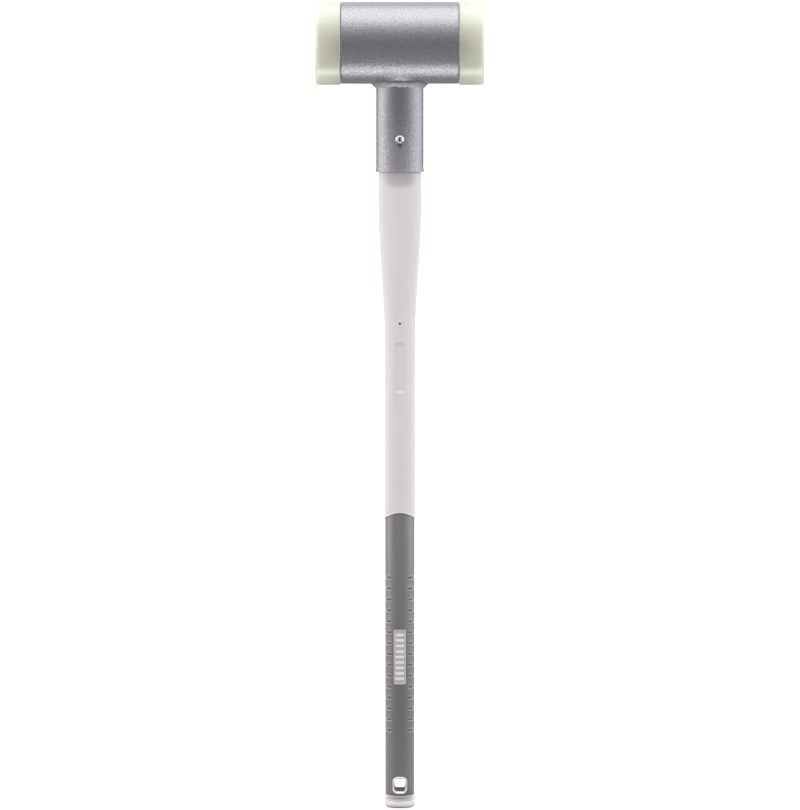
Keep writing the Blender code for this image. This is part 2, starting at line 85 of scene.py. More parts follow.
# Oval handle socket, its weld and its cross screw
socket_low, socket_high = measured("handle_socket")
screw_low, screw_high = measured("handle_screw")
SOCKET_WALL = 2.3 * MM
SOCKET_LIP = 0.5 * MM
MOUTH_LEVEL = socket_low[2]
BORE_HALF_WIDTH = socket_high[0] - SOCKET_LIP - SOCKET_WALL
BORE_HALF_DEPTH = socket_high[1] - SOCKET_LIP - SOCKET_WALL
SOCKET_LIP_HEIGHT = 5 * MM
SOCKET_EDGE = 0.5 * MM
BORE_CHAMFER = 0.8 * MM
WELD_LEG = 5.6 * MM
WELD_FRONT_LEG = 3.4 * MM
WELD_DROP = 7.5 * MM
WELD_HOLLOW = 0.8
# Share of the bead's face, from its top, over which the painted crease shade gives way to painted light
WELD_CREASE = 0.55
WELD_BITE = 0.3 * MM
WELD_STEPS = 24
SCREW_LEVEL = (screw_low[2] + screw_high[2]) / 2
SCREW_RADIUS = 3 * MM
SCREW_HOLE_RADIUS = SCREW_RADIUS + FIT_GAP
SCREW_HEAD_RADIUS = screw_high[0]
SCREW_HEAD_HEIGHT = 3.2 * MM
SCREW_CROWN_RADIUS = 2.7 * MM
SCREW_EDGE = 0.3 * MM
HEX_RADIUS = 4 * MM / math.sqrt(3)
HEX_DEPTH = 2.1 * MM

# Handle: ovals are superellipses, given by their half depth, and wider than deep
jacket_low, jacket_high = measured("handle_jacket")
rod_low, rod_high = measured("fibreglass_rod")
OVAL_EXCESS = 7.2 * MM
OVAL_POWER = 2.35
TENON_EXCESS = 21.8 * MM
ROD_BORE_RADIUS = (rod_high[0] - rod_low[0]) / 2 + FIT_GAP
SLIM_HALF = 11.4 * MM
GRIP_HALF = 14.0 * MM
SHAFT_HALF = 14.8 * MM
CAP_HALF = 15.0 * MM
BAND_HALF = 14.4 * MM
HANDLE_TOP = jacket_high[2]
JACKET_BOTTOM = jacket_low[2]
JACKET_LIP = 0.45 * MM
JACKET_LIP_HEIGHT = 1.1 * MM
TAPER_BOTTOM = 570 * MM
TAPER_TOP = 734 * MM
RECESS_TOP = 570.3 * MM
RECESS_WIDTH = 12.2 * MM
RECESS_HEIGHT = 60.8 * MM
RECESS_RADIUS = 3 * MM
RECESS_DEPTH = 1.2 * MM
RECESS_WALL = 0.5 * MM
RECESS_RAMP = 2.6 * MM
RECESS_END_SHARE = 0.15
PIN_HOLE_LEVEL = 593.3 * MM
PIN_HOLE_RADIUS = 1.45 * MM
PIN_HOLE_DEPTH = 4 * MM

# Soft grip, its notches and its plate
grip_low = measured("grip_sleeve")[0]
plate_low, plate_high = measured("grip_plate")
GRIP_BOTTOM = grip_low[2]
GRIP_TOP = 363.6 * MM
GRIP_ARCH = 6.8 * MM
GRIP_ARCH_FADE = 60 * MM
GRIP_EDGE = 0.6 * MM
NOTCH_FIRST = 283.5 * MM
NOTCH_PITCH = 13.4 * MM
NOTCH_COUNT = 15
NOTCH_RISE = 1.8 * MM
NOTCH_DROP = 1.1 * MM
NOTCH_DEPTH = 1.4 * MM
NOTCH_LIP = 1.2 * MM
NOTCH_LIP_HEIGHT = 0.2 * MM
NOTCH_UPPER_LIP_AT = 1.3
NOTCH_LOWER_LIP_AT = -1.4
NOTCH_UPPER_LIP_SHARE = 0.4
NOTCH_INNER_EDGE = 9.6 * MM
NOTCH_RAMP = 1.6 * MM
NOTCH_RUN_OUT = 9 * MM
NOTCH_SIDE_SHARE = 0.35
PLATE_LEVEL = (plate_low[2] + plate_high[2]) / 2
PLATE_WIDTH = plate_high[0] - plate_low[0]
PLATE_HEIGHT = plate_high[2] - plate_low[2]
PLATE_RADIUS = 1.8 * MM
PLATE_SEAT_DEPTH = 1.7 * MM
PLATE_PROUD = 0.4 * MM
PLATE_RELIEF = 0.6 * MM
PLATE_RIM = 1.6 * MM
PLATE_EDGE = 0.5 * MM
PLATE_BARS = 9
PLATE_BAR_HEIGHT = 3.2 * MM
PLATE_BAR_RADIUS = 0.6 * MM
PLATE_BAR_EDGE = 0.3 * MM
PLATE_BAR_SEAT = 0.1 * MM
PLATE_BAR_MARGIN = 0.45 * MM

# End cap and its hanging eye
cap_high = measured("end_cap")[1]
CAP_HEIGHT = GRIP_BOTTOM - FIT_GAP
CAP_FLANGE_HEIGHT = 7.8 * MM
CAP_FLANGE_TAPER = 0.2 * MM
CAP_EDGE_RADIUS = 4.5 * MM
CAP_GROOVE = 0.8 * MM
CAP_TOP_EDGE = 0.4 * MM
TANG_TOP = JACKET_BOTTOM - FIT_GAP
STUB_TOP = cap_high[2]
STUB_RADIUS = 9 * MM
EYE_LEVEL = 28.95 * MM
EYE_WIDTH = 12.5 * MM
EYE_HEIGHT = 15.7 * MM
EYE_RADIUS = 2.4 * MM
EYE_RIM = 2.6 * MM
EYE_RIM_RADIUS = 6.4 * MM
EYE_RIM_PROUD = 2.2 * MM
EYE_INNER_ROUND = 1.6 * MM
EYE_OUTER_ROUND = 1.0 * MM

# Facets and shading
HEAD_SIDES = 192
SOCKET_SIDES = 200
OVAL_SIDES = 168
SCREW_SIDES = 96
CUTTER_SIDES = 48
SUPPORT = 0.4 * MM
MERGE = 0.001 * MM
SHARP_ANGLE = math.radians(40)
CUT_PAST = 10 * MM
WHITE_GRAIN_DEPTH = 0.006 * MM

# Camera, floor and side lamps
CAMERA_PLACE = (0.0002, -5.75, HEAD_LEVEL + 0.352)
CAMERA_TILT = math.radians(90 - 7.8)
CAMERA_SENSOR = 36
CAMERA_LENS = 214.235
FLOOR_REACH = 40
FLOOR_GREY = 0.33
FLOOR_GLOW = 0.75
FLOOR_FAR_GLOW = 0.3
SIDE_LAMP_SIZE = (1.0, 2.0)
SIDE_LAMP_TARGET = (0, 0, 0.6)
SIDE_LAMP_LEVEL = 0.9


# Forms

def mm(*lengths):
    """Lengths given in millimetres."""
    return tuple(length * MM for length in lengths)


def arc(centre, radius, start, end, steps=8):
    """Points of an arc from one angle to another, in degrees."""
    angles = np.radians(np.linspace(start, end, steps + 1))
    return [(centre[0] + radius * math.cos(a), centre[1] + radius * math.sin(a)) for a in angles]


def supported(points, closed=False):
    """A line with extra points just inside the ends of its long stretches, so shading stays crisp."""
    made = []
    ends = list(zip(points, points[1:] + points[:1])) if closed else list(zip(points, points[1:]))
    for start, end in ends:
        made.append(start)
        length = math.dist(start, end)
        if length > 4 * SUPPORT:
            for share in (SUPPORT / length, 1 - SUPPORT / length):
                made.append(tuple(s + (e - s) * share for s, e in zip(start, end)))
    return made if closed else made + [points[-1]]


def ease(share):
    """Smooth step from 0 to 1."""
    share = np.clip(share, 0, 1)
    return share * share * (3 - 2 * share)


def rounded_outline(width, height, radius, level, steps=10):
    """Points (x, z) of an upright rectangle with round corners, centred on a level."""
    across, up = width / 2 - radius, height / 2 - radius
    points = []
    for quarter, (x, z) in enumerate(((across, up), (-across, up), (-across, -up), (across, -up))):
        points += arc((x, z + level), radius, 90 * quarter, 90 * quarter + 90, steps)
    return points


def inside_outline(x, z, width, height, radius, level):
    """How far points lie inside that rectangle, less than 0 outside it."""
    dx = np.abs(x) - (width / 2 - radius)
    dz = np.abs(z - level) - (height / 2 - radius)
    outside = np.hypot(np.maximum(dx, 0), np.maximum(dz, 0))
    return radius - outside - np.minimum(np.maximum(dx, dz), 0)


def superellipse(half_width, half_depth, power, angles):
    """The x and y of a superellipse's points at these angles."""
    cos, sin = np.cos(angles), np.sin(angles)
    x = half_width * np.sign(cos) * np.abs(cos) ** (2 / power)
    y = half_depth * np.sign(sin) * np.abs(sin) ** (2 / power)
    return x, y


def oval_ring(half_depth, level, angles, arch=0.0, excess=OVAL_EXCESS, power=OVAL_POWER):
    """A ring of the handle's oval. An arch lowers its sides by that much."""
    x, y = superellipse(half_depth + excess / 2, half_depth, power, angles)
    drop = arch * (x / (GRIP_HALF + OVAL_EXCESS / 2)) ** 2
    return np.stack([x, y, level - drop], -1)


def around(sides):
    """Even angles round a full turn."""
    return np.arange(sides) * 2 * math.pi / sides


def head_rings(profile, side=1):
    """Rings about the head's axis from (radius, distance along it) points."""
    turn = around(HEAD_SIDES)
    rings = []
    for radius, along in profile:
        x = np.full(turn.shape, side * along)
        rings.append(np.stack([x, radius * np.cos(turn), HEAD_LEVEL + radius * np.sin(turn)], -1))
    return rings


def front_rings(outlines):
    """Rings that face the front from (points (x, z), distance in front of the axis) pairs."""
    return [np.array([(x, -out, z) for x, z in points]) for points, out in outlines]


def smooth(mesh):
    """Smooth shading, apart from the sharp edges."""
    mesh.shade_smooth()
    mesh.set_sharp_from_angle(angle=SHARP_ANGLE)


def skin(name, rings, material, ring_shaped=False, marks=None):
    """A piece skinned over rings with as many points each, joined into a loop or closed at its ends.

    marks gives each ring a share, kept as the point attribute "share".
    """
    rings = np.array(rings, float)
    count, sides = rings.shape[:2]
    i = np.arange(count if ring_shaped else count - 1)[:, None]
    j = np.arange(sides)[None, :]
    following, beside = (i + 1) % count, (j + 1) % sides
    corners = [i * sides + j, i * sides + beside, following * sides + beside, following * sides + j]
    faces = np.stack(np.broadcast_arrays(*corners), -1).reshape(-1, 4).tolist()
    if not ring_shaped:
        faces += [list(range(sides)), list(range((count - 1) * sides, count * sides))]
    mesh = bpy.data.meshes.new(name)
    mesh.from_pydata(rings.reshape(-1, 3).tolist(), [], faces)
    if marks is not None:
        attribute = mesh.attributes.new("share", "FLOAT", "POINT")
        attribute.data.foreach_set("value", np.repeat(np.array(marks, np.float32), sides))
    bm = bmesh.new()
    bm.from_mesh(mesh)
    bmesh.ops.remove_doubles(bm, verts=bm.verts, dist=MERGE)
    bmesh.ops.dissolve_degenerate(bm, edges=bm.edges, dist=MERGE)
    bmesh.ops.recalc_face_normals(bm, faces=bm.faces)
    bm.to_mesh(mesh)
    bm.free()
    smooth(mesh)
    obj = bpy.data.objects.new(name, mesh)
    bpy.context.scene.collection.objects.link(obj)
    if material:
        mesh.materials.append(material)
    return obj


def settle(obj):
    """Turns a piece's modifiers into its plain mesh."""
    graph = bpy.context.evaluated_depsgraph_get()
    mesh = bpy.data.meshes.new_from_object(obj.evaluated_get(graph))
    obj.modifiers.clear()
    used, obj.data = obj.data, mesh
    bpy.data.meshes.remove(used)
    mesh.name = obj.name
    return obj


def combine(obj, tool, operation):
    """Cuts a tool out of a piece, or joins it on, and takes the tool away."""
    modifier = obj.modifiers.new(operation, "BOOLEAN")
    modifier.operation = operation
    modifier.object = tool
    modifier.solver = "EXACT"
    settle(obj)
    bpy.data.objects.remove(tool)
    smooth(obj.data)
    return obj


def round_bar(name, radius, level, front, back):
    """A cutter: a round bar at a level, from one distance in front of the axis to another."""
    points = [(radius * math.cos(a), level + radius * math.sin(a)) for a in around(CUTTER_SIDES)]
    return prism(name, points, front, back)


def prism(name, outline, front, back):
    """A cutter: an outline that faces the front, from one distance in front of the axis to another."""
    return skin(name, front_rings([(outline, back), (outline, front)]), None)


# Node trees

class Tree:
    """A node tree that is wired from Python."""

    def __init__(self, tree):
        self.tree = tree

    def feed(self, socket, value):
        """Links an output to an input, or gives the input a plain value."""
        if isinstance(value, bpy.types.NodeSocket):
            self.tree.links.new(value, socket)
        else:
            socket.default_value = value

    def add(self, kind, values=None, **settings):
        """A new node with these settings, its inputs fed with these values."""
        node = self.tree.nodes.new(kind)
        for key, value in settings.items():
            setattr(node, key, value)
        for key, value in (values or {}).items():
            self.feed(node.inputs[key], value)
        return node

    def result(self, kind, values=None, **settings):
        """A new node's first output."""
        return self.add(kind, values, **settings).outputs[0]

    def math(self, operation, *values):
        return self.result("ShaderNodeMath", dict(enumerate(values)), operation=operation)

    def vector(self, operation, *values):
        return self.result("ShaderNodeVectorMath", dict(enumerate(values)), operation=operation)

    def scale(self, vector, amount):
        return self.result("ShaderNodeVectorMath", {"Vector": vector, "Scale": amount}, operation="SCALE")

    def clamp(self, value):
        return self.result("ShaderNodeClamp", {"Value": value})

    def smooth_step(self, value, start=0.0, end=1.0):
        """0 up to one value and 1 from another, smooth between them."""
        values = {"Value": value, "From Min": start, "From Max": end}
        return self.result("ShaderNodeMapRange", values, interpolation_type="SMOOTHSTEP")

    def place(self):
        """Where a point of the surface lies, in the piece's own frame."""
        return self.add("ShaderNodeTexCoord").outputs["Object"]


def shape_tree(name, inputs):
    """A geometry tree with named inputs after its geometry. Returns it, its inputs and its output."""
    group = bpy.data.node_groups.new(name, "GeometryNodeTree")
    group.interface.new_socket("Geometry", in_out="INPUT", socket_type="NodeSocketGeometry")
    for label, value in inputs.items():
        kind = "NodeSocketInt" if isinstance(value, int) else "NodeSocketFloat"
        group.interface.new_socket(label, in_out="INPUT", socket_type=kind).default_value = value
    group.interface.new_socket("Material", in_out="INPUT", socket_type="NodeSocketMaterial")
    group.interface.new_socket("Geometry", in_out="OUTPUT", socket_type="NodeSocketGeometry")
    tree = Tree(group)
    given = tree.add("NodeGroupInput").outputs
    return tree, given, tree.add("NodeGroupOutput").inputs["Geometry"]


def close_tree(tree, given, geometry, output):
    """Ends a geometry tree in plain mesh with its material."""
    real = tree.result("GeometryNodeRealizeInstances", {"Geometry": geometry})
    dressed = tree.result("GeometryNodeSetMaterial", {"Geometry": real, "Material": given["Material"]})
    tree.feed(output, dressed)


def grow_by(obj, tree, inputs, material):
    """Runs a geometry tree on a piece with these inputs, and keeps the result as its plain mesh."""
    modifier = obj.modifiers.new(tree.tree.name, "NODES")
    modifier.node_group = tree.tree
    named = {item.name: item.identifier for item in tree.tree.interface.items_tree
             if item.in_out == "INPUT" and item.socket_type != "NodeSocketGeometry"}
    for label, value in {**inputs, "Material": material}.items():
        modifier[named[label]] = value
    return settle(obj)


def ball_tree(inputs):
    """Balls on the piece's points."""
    tree, given, output = shape_tree("shot_balls", inputs)
    radius = tree.math("MULTIPLY", given["Diameter"], 0.5)
    ball = tree.result("GeometryNodeMeshIcoSphere", {"Radius": radius, "Subdivisions": given["Subdivisions"]})
    on_points = {"Points": given["Geometry"], "Instance": ball}
    placed = tree.result("GeometryNodeInstanceOnPoints", on_points)
    rounded = tree.result("GeometryNodeSetShadeSmooth", {"Geometry": placed})
    close_tree(tree, given, rounded, output)
    return tree


def notch_tree(inputs):
    """Notches along both sides of a sleeve: each falls in from a ledge below it, between two raised lips.

    The lips are marked for a painted highlight and the cuts for painted shade.
    """
    tree, given, output = shape_tree("grip_notches", inputs)
    place = tree.result("GeometryNodeInputPosition")
    x, y, z = tree.add("ShaderNodeSeparateXYZ", {"Vector": place}).outputs
    below = tree.math("SUBTRACT", given["First level"], z)
    number = tree.math("ROUND", tree.math("DIVIDE", below, given["Pitch"]))
    last = tree.math("SUBTRACT", given["Count"], 1)
    number = tree.math("MINIMUM", tree.math("MAXIMUM", number, 0), last)
    above = tree.math("SUBTRACT", tree.math("MULTIPLY", number, given["Pitch"]), below)
    ledge = tree.math("ADD", 1, tree.math("DIVIDE", above, given["Drop"]))
    slope = tree.clamp(tree.math("SUBTRACT", 1, tree.math("DIVIDE", above, given["Rise"])))
    cut = tree.clamp(tree.math("MINIMUM", ledge, tree.math("MULTIPLY", slope, slope)))
    lips = 0.0
    for length, at in ((given["Rise"], NOTCH_UPPER_LIP_AT), (given["Drop"], NOTCH_LOWER_LIP_AT)):
        middle = tree.math("MULTIPLY", length, at)
        away = tree.math("ABSOLUTE", tree.math("SUBTRACT", above, middle))
        lip = tree.smooth_step(tree.math("SUBTRACT", 1, tree.math("DIVIDE", away, given["Lip"])))
        raised = tree.math("MULTIPLY", lip, given["Lip height"])
        lips = tree.math("ADD", tree.math("MULTIPLY", lips, NOTCH_UPPER_LIP_SHARE), raised)
    reach = tree.math("SUBTRACT", tree.math("ABSOLUTE", x), given["Inner edge"])
    side = tree.smooth_step(tree.math("DIVIDE", reach, given["Ramp"]))
    flank = tree.smooth_step(tree.math("DIVIDE", tree.math("ABSOLUTE", y), given["Run-out"]))
    deepened = tree.math("MULTIPLY", flank, tree.math("SUBTRACT", 1, given["Side share"]))
    side = tree.math("MULTIPLY", side, tree.math("ADD", given["Side share"], deepened))
    share = tree.result("GeometryNodeInputNamedAttribute", {"Name": "share"}, data_type="FLOAT")
    proud = tree.math("SUBTRACT", lips, tree.math("MULTIPLY", cut, given["Depth"]))
    proud = tree.math("MULTIPLY", proud, tree.math("MULTIPLY", side, share))
    outward = tree.vector("NORMALIZE", tree.result("ShaderNodeCombineXYZ", {"X": x, "Y": y}))
    offset = tree.scale(outward, proud)
    shape = tree.result("GeometryNodeSetPosition", {"Geometry": given["Geometry"], "Offset": offset})
    # The lips carry a mark for a painted highlight, the cuts one for painted shade.
    painted_light_share = tree.math("DIVIDE", lips, given["Lip height"])
    marks = {"painted_lip_highlight": painted_light_share, "painted_cut_shade": tree.math("MULTIPLY", cut, cut)}
    for name, mark in marks.items():
        amount = tree.math("MULTIPLY", mark, tree.math("MULTIPLY", side, share))
        values = {"Geometry": shape, "Name": name, "Value": amount}
        shape = tree.result("GeometryNodeStoreNamedAttribute", values, data_type="FLOAT", domain="POINT")
    close_tree(tree, given, shape, output)
    return tree


def ripple_tree(inputs):
    """Uneven ripples across a weld bead, as welding leaves them."""
    tree, given, output = shape_tree("weld_ripples", inputs)
    place = tree.result("GeometryNodeInputPosition")
    normal = tree.result("GeometryNodeInputNormal")
    share = tree.result("GeometryNodeInputNamedAttribute", {"Name": "share"}, data_type="FLOAT")
    fine = tree.math("DIVIDE", 1, given["Ripple"])
    coarse = tree.math("DIVIDE", 1, given["Lump"])
    height = 0.0
    for scale, weight in ((fine, given["Ripple height"]), (coarse, given["Lump height"])):
        values = {"Vector": place, "W": given["Seed"], "Scale": scale, "Detail": 1.0}
        noise = tree.result("ShaderNodeTexNoise", values, noise_dimensions="4D")
        level = tree.math("MULTIPLY", tree.math("SUBTRACT", noise, 0.5), weight)
        height = tree.math("ADD", height, level)
    offset = tree.scale(normal, tree.math("MULTIPLY", height, share))
    moved = tree.result("GeometryNodeSetPosition", {"Geometry": given["Geometry"], "Offset": offset})
    close_tree(tree, given, moved, output)
    return tree


def bar_tree(inputs):
    """Copies of one bar up a plate, bent to the handle's oval."""
    tree, given, output = shape_tree("plate_bars", inputs)
    span = tree.math("MULTIPLY", tree.math("SUBTRACT", given["Count"], 1), given["Pitch"])
    lowest = tree.math("SUBTRACT", given["Level"], tree.math("MULTIPLY", span, 0.5))
    start = tree.result("ShaderNodeCombineXYZ", {"Z": lowest})
    step = tree.result("ShaderNodeCombineXYZ", {"Z": given["Pitch"]})
    upward = {"Count": given["Count"], "Start Location": start, "Offset": step}
    line = tree.result("GeometryNodeMeshLine", upward)
    on_points = {"Points": line, "Instance": given["Geometry"]}
    bars = tree.result("GeometryNodeInstanceOnPoints", on_points)
    real = tree.result("GeometryNodeRealizeInstances", {"Geometry": bars})
    place = tree.result("GeometryNodeInputPosition")
    x = tree.result("ShaderNodeSeparateXYZ", {"Vector": place})
    across = tree.math("DIVIDE", tree.math("ABSOLUTE", x), given["Half width"])
    rest = tree.math("SUBTRACT", 1, tree.math("POWER", across, given["Power"]))
    depth = tree.math("POWER", rest, tree.math("DIVIDE", 1, given["Power"]))
    bend = tree.math("MULTIPLY", tree.math("MULTIPLY", depth, given["Half depth"]), -1)
    offset = tree.result("ShaderNodeCombineXYZ", {"Y": bend})
    bent = tree.result("GeometryNodeSetPosition", {"Geometry": real, "Offset": offset})
    close_tree(tree, given, bent, output)
    return tree


# Finishes

def effect(name, inputs, output):
    """An empty shader group with named value sockets. Returns it, its inputs, and its output to feed."""
    group = bpy.data.node_groups.new(name, "ShaderNodeTree")
    for label, value in inputs.items():
        group.interface.new_socket(label, in_out="INPUT", socket_type="NodeSocketFloat").default_value = value
    group.interface.new_socket(output, in_out="OUTPUT", socket_type="NodeSocketFloat")
    tree = Tree(group)
    return tree, tree.add("NodeGroupInput").outputs, tree.add("NodeGroupOutput").inputs[output]


def make_mottle():
    """Slow, soft variation over a surface, from Low to High."""
    tree, given, out = effect("mottle", {"Scale": 40, "Low": 0, "High": 1}, "Value")
    place = tree.place()
    noise = tree.result("ShaderNodeTexNoise", {"Vector": place, "Scale": given["Scale"], "Detail": 4.0})
    spread = {"Value": noise, "From Min": 0.3, "From Max": 0.7,
              "To Min": given["Low"], "To Max": given["High"]}
    tree.feed(out, tree.result("ShaderNodeMapRange", spread))
    return tree.tree


def make_pebbles():
    """Height of a pebbled skin, with finer grain over its pebbles."""
    tree, given, out = effect("pebbles", {"Scale": 500, "Grain": 0.3}, "Height")
    place = tree.place()
    cells = tree.add("ShaderNodeTexVoronoi", {"Vector": place, "Scale": given["Scale"], "Smoothness": 0.6},
                     feature="SMOOTH_F1").outputs["Distance"]
    fine = tree.math("MULTIPLY", given["Scale"], 2.3)
    noise = tree.result("ShaderNodeTexNoise", {"Vector": place, "Scale": fine, "Detail": 2.0})
    grain = tree.math("MULTIPLY", noise, given["Grain"])
    tree.feed(out, tree.math("SUBTRACT", grain, cells))
    return tree.tree


def make_scuffs():
    """Mask of fine, short scuffs from handling."""
    tree, given, out = effect("scuffs", {"Scale": 60, "Amount": 0.3}, "Mask")
    place = tree.place()
    total = 0.0
    for turn in ((0.3, 0.5, 0.2), (0.9, -0.4, 1.1)):
        drawn_out = {"Vector": place, "Rotation": turn, "Scale": (1, 9, 1)}
        turned = tree.result("ShaderNodeMapping", drawn_out)
        noise = tree.result("ShaderNodeTexNoise", {"Vector": turned, "Scale": given["Scale"], "Detail": 3.0})
        thin = {"Value": noise, "From Min": 0.66, "From Max": 0.74}
        total = tree.math("MAXIMUM", total, tree.result("ShaderNodeMapRange", thin))
    tree.feed(out, tree.math("MULTIPLY", total, given["Amount"]))
    return tree.tree


def make_spot():
    """Mask of a soft oval spot: 1 at its middle, 0 from its edge outward."""
    sizes = {"X": 0, "Y": 0, "Z": 0, "Width": 1, "Depth": 1, "Height": 1, "Softness": 0.5}
    tree, given, out = effect("spot", sizes, "Mask")
    place = tree.place()
    middle = tree.result("ShaderNodeCombineXYZ", {axis: given[axis] for axis in "XYZ"})
    halves = [tree.math("MULTIPLY", given[size], 0.5) for size in ("Width", "Depth", "Height")]
    reach = tree.result("ShaderNodeCombineXYZ", dict(zip("XYZ", halves)))
    away = tree.vector("DIVIDE", tree.vector("SUBTRACT", place, middle), reach)
    length = tree.add("ShaderNodeVectorMath", {0: away}, operation="LENGTH").outputs["Value"]
    inner = tree.math("SUBTRACT", 1, given["Softness"])
    tree.feed(out, tree.smooth_step(length, 1.0, inner))
    return tree.tree


MOTTLE = make_mottle()
PEBBLES = make_pebbles()
SCUFFS = make_scuffs()
SPOT = make_spot()


class Finish(Tree):
    """A material with one Principled shader."""

    def __init__(self, name, **constants):
        self.material = bpy.data.materials.new(name)
        self.material.use_nodes = True
        super().__init__(self.material.node_tree)
        self.shader = self.tree.nodes["Principled BSDF"]
        for key, value in constants.items():
            self.shader.inputs[key.replace("_", " ")].default_value = value

    def use(self, group, **values):
        """An effect's output, with its own values."""
        return self.result("ShaderNodeGroup", values, node_tree=group)

    def mottled(self, scale, low=0.0, high=1.0):
        """Soft variation from a low to a high value."""
        return self.use(MOTTLE, Scale=scale, Low=low, High=high)

    def scuffed(self, roughness, scale, amount):
        """Roughness with scuffs of that scale added to it."""
        return self.math("ADD", roughness, self.use(SCUFFS, Scale=scale, Amount=amount))

    def spot(self, middle, size, softness, amount=1.0):
        """Mask of a soft oval spot with this middle and full size, both (x, y, z)."""
        values = dict(zip(("X", "Y", "Z", "Width", "Depth", "Height"), (*middle, *size)))
        return self.math("MULTIPLY", self.use(SPOT, **values, Softness=softness), amount)

    def marked(self, name):
        """A share that the piece carries on its points."""
        return self.add("ShaderNodeAttribute", attribute_name=name).outputs["Fac"]

    def colours(self, share, first, second):
        """A mix of two colours by a share."""
        first, second = [(*tone, 1) if isinstance(tone, tuple) else tone for tone in (first, second)]
        return self.add("ShaderNodeMix", {0: share, 6: first, 7: second}, data_type="RGBA").outputs[2]

    def dress(self, colour, roughness, height, depth):
        """Wires what varies over the surface. depth is the height's full depth in metres."""
        bump = self.result("ShaderNodeBump", {"Strength": 1.0, "Distance": depth, "Height": height})
        for label, value in (("Base Color", colour), ("Roughness", roughness), ("Normal", bump)):
            self.feed(self.shader.inputs[label], value)
        return self.material


def make_silver_paint(name, rough, pebble_scale, pebble_depth, creased=False):
    """Silver paint with a pebbled, slightly glittering skin, and a painted shadow under the screw.

    On the tube and the socket, painted light makes it paler beside and above the weld and above the mouth. On
    a bead, painted shade darkens the crease, and the rest is a paler copy of the paint that stands in for
    light on the bead.
    """
    look = Finish(name, Metallic=0.8)
    shade = look.mottled(700)
    if creased:
        # Painted shade in the weld's crease, darkest at the front; the bead below is a paler copy of the
        # paint, painted as lit.
        front = look.spot((0, -24 * MM, HEAD_LEVEL - TUBE_RADIUS), mm(48, 70, 60), softness=0.6)
        painted_crease_shade = look.colours(front, (0.30, 0.296, 0.31), (0.045, 0.044, 0.047))
        bead = look.colours(shade, (0.40, 0.395, 0.41), (0.60, 0.59, 0.61))
        colour = look.colours(look.marked("painted_light_share"), painted_crease_shade, bead)
    else:
        colour = look.colours(shade, (0.228, 0.225, 0.239), (0.345, 0.341, 0.361))
        # Painted light: paler paint beside and above the weld, standing in for light reflected there.
        painted_light_beside_weld = look.spot((0, -26 * MM, HEAD_LEVEL - 41.5 * MM), mm(90, 34, 16), 1.0, amount=0.55)
        colour = look.colours(painted_light_beside_weld, colour, (0.62, 0.61, 0.63))
        painted_highlight_above_weld = look.spot((0, -22 * MM, HEAD_LEVEL - 42.5 * MM), mm(36, 30, 14), softness=1.0)
        colour = look.colours(painted_highlight_above_weld, colour, (0.85, 0.84, 0.86))
        # Painted light: paler paint on the socket above its mouth, standing in for light from below.
        painted_light_above_mouth = look.spot((0, -18 * MM, MOUTH_LEVEL), mm(52, 90, 170), 1.0, amount=0.55)
        colour = look.colours(painted_light_above_mouth, colour, (0.60, 0.585, 0.625))
    # Painted shadow of the screw's head on the socket below it.
    painted_shade_mask = look.spot((0, -18 * MM, SCREW_LEVEL - 6.5 * MM), mm(9, 30, 14), 0.8, amount=0.75)
    colour = look.colours(painted_shade_mask, colour, (0.11, 0.108, 0.115))
    roughness = look.mottled(120, rough, rough + 0.04)
    return look.dress(colour, roughness, look.use(PEBBLES, Scale=pebble_scale, Grain=0.5), pebble_depth)


def make_ivory_nylon():
    """Turned nylon: fine tool marks and light that sinks in, with painted shade by the tube and painted light
    below.
    """
    look = Finish("turned_ivory_nylon", Subsurface_Weight=1.0, Subsurface_Radius=(1.0, 0.97, 0.85),
                  Subsurface_Scale=26 * MM, Specular_IOR_Level=0.9)
    colour = look.colours(look.mottled(30), (0.538, 0.544, 0.450), (0.550, 0.556, 0.461))
    for side in (-1, 1):
        seam = (side * TUBE_END, -FACE_RADIUS, HEAD_LEVEL - 3 * MM)
        # Painted shade on each face next to the tube.
        painted_shade_by_tube = look.spot(seam, mm(40, 60, 62), 1.0, amount=0.38)
        colour = look.colours(painted_shade_by_tube, colour, (0.26, 0.26, 0.205))
        # Painted light on each face's lower half, standing in for light from below.
        below = look.spot((side * 85 * MM, -30 * MM, HEAD_LEVEL - 45 * MM), mm(70, 80, 52), 1.0, amount=0.8)
        colour = look.colours(below, colour, (0.66, 0.668, 0.555))
    to_axis = {"Vector": look.place(), "Location": (0, 0, -HEAD_LEVEL)}
    centred = look.result("ShaderNodeMapping", to_axis)
    rings = look.add("ShaderNodeTexWave", {"Vector": centred, "Scale": 260.0},
                     wave_type="RINGS", rings_direction="X").outputs["Fac"]
    lines = look.add("ShaderNodeTexWave", {"Vector": centred, "Scale": 420.0, "Distortion": 0.4},
                     wave_type="BANDS", bands_direction="X").outputs["Fac"]
    height = look.math("ADD", rings, look.math("MULTIPLY", lines, 0.5))
    return look.dress(colour, look.mottled(60, 0.28, 0.30), height, 0.003 * MM)


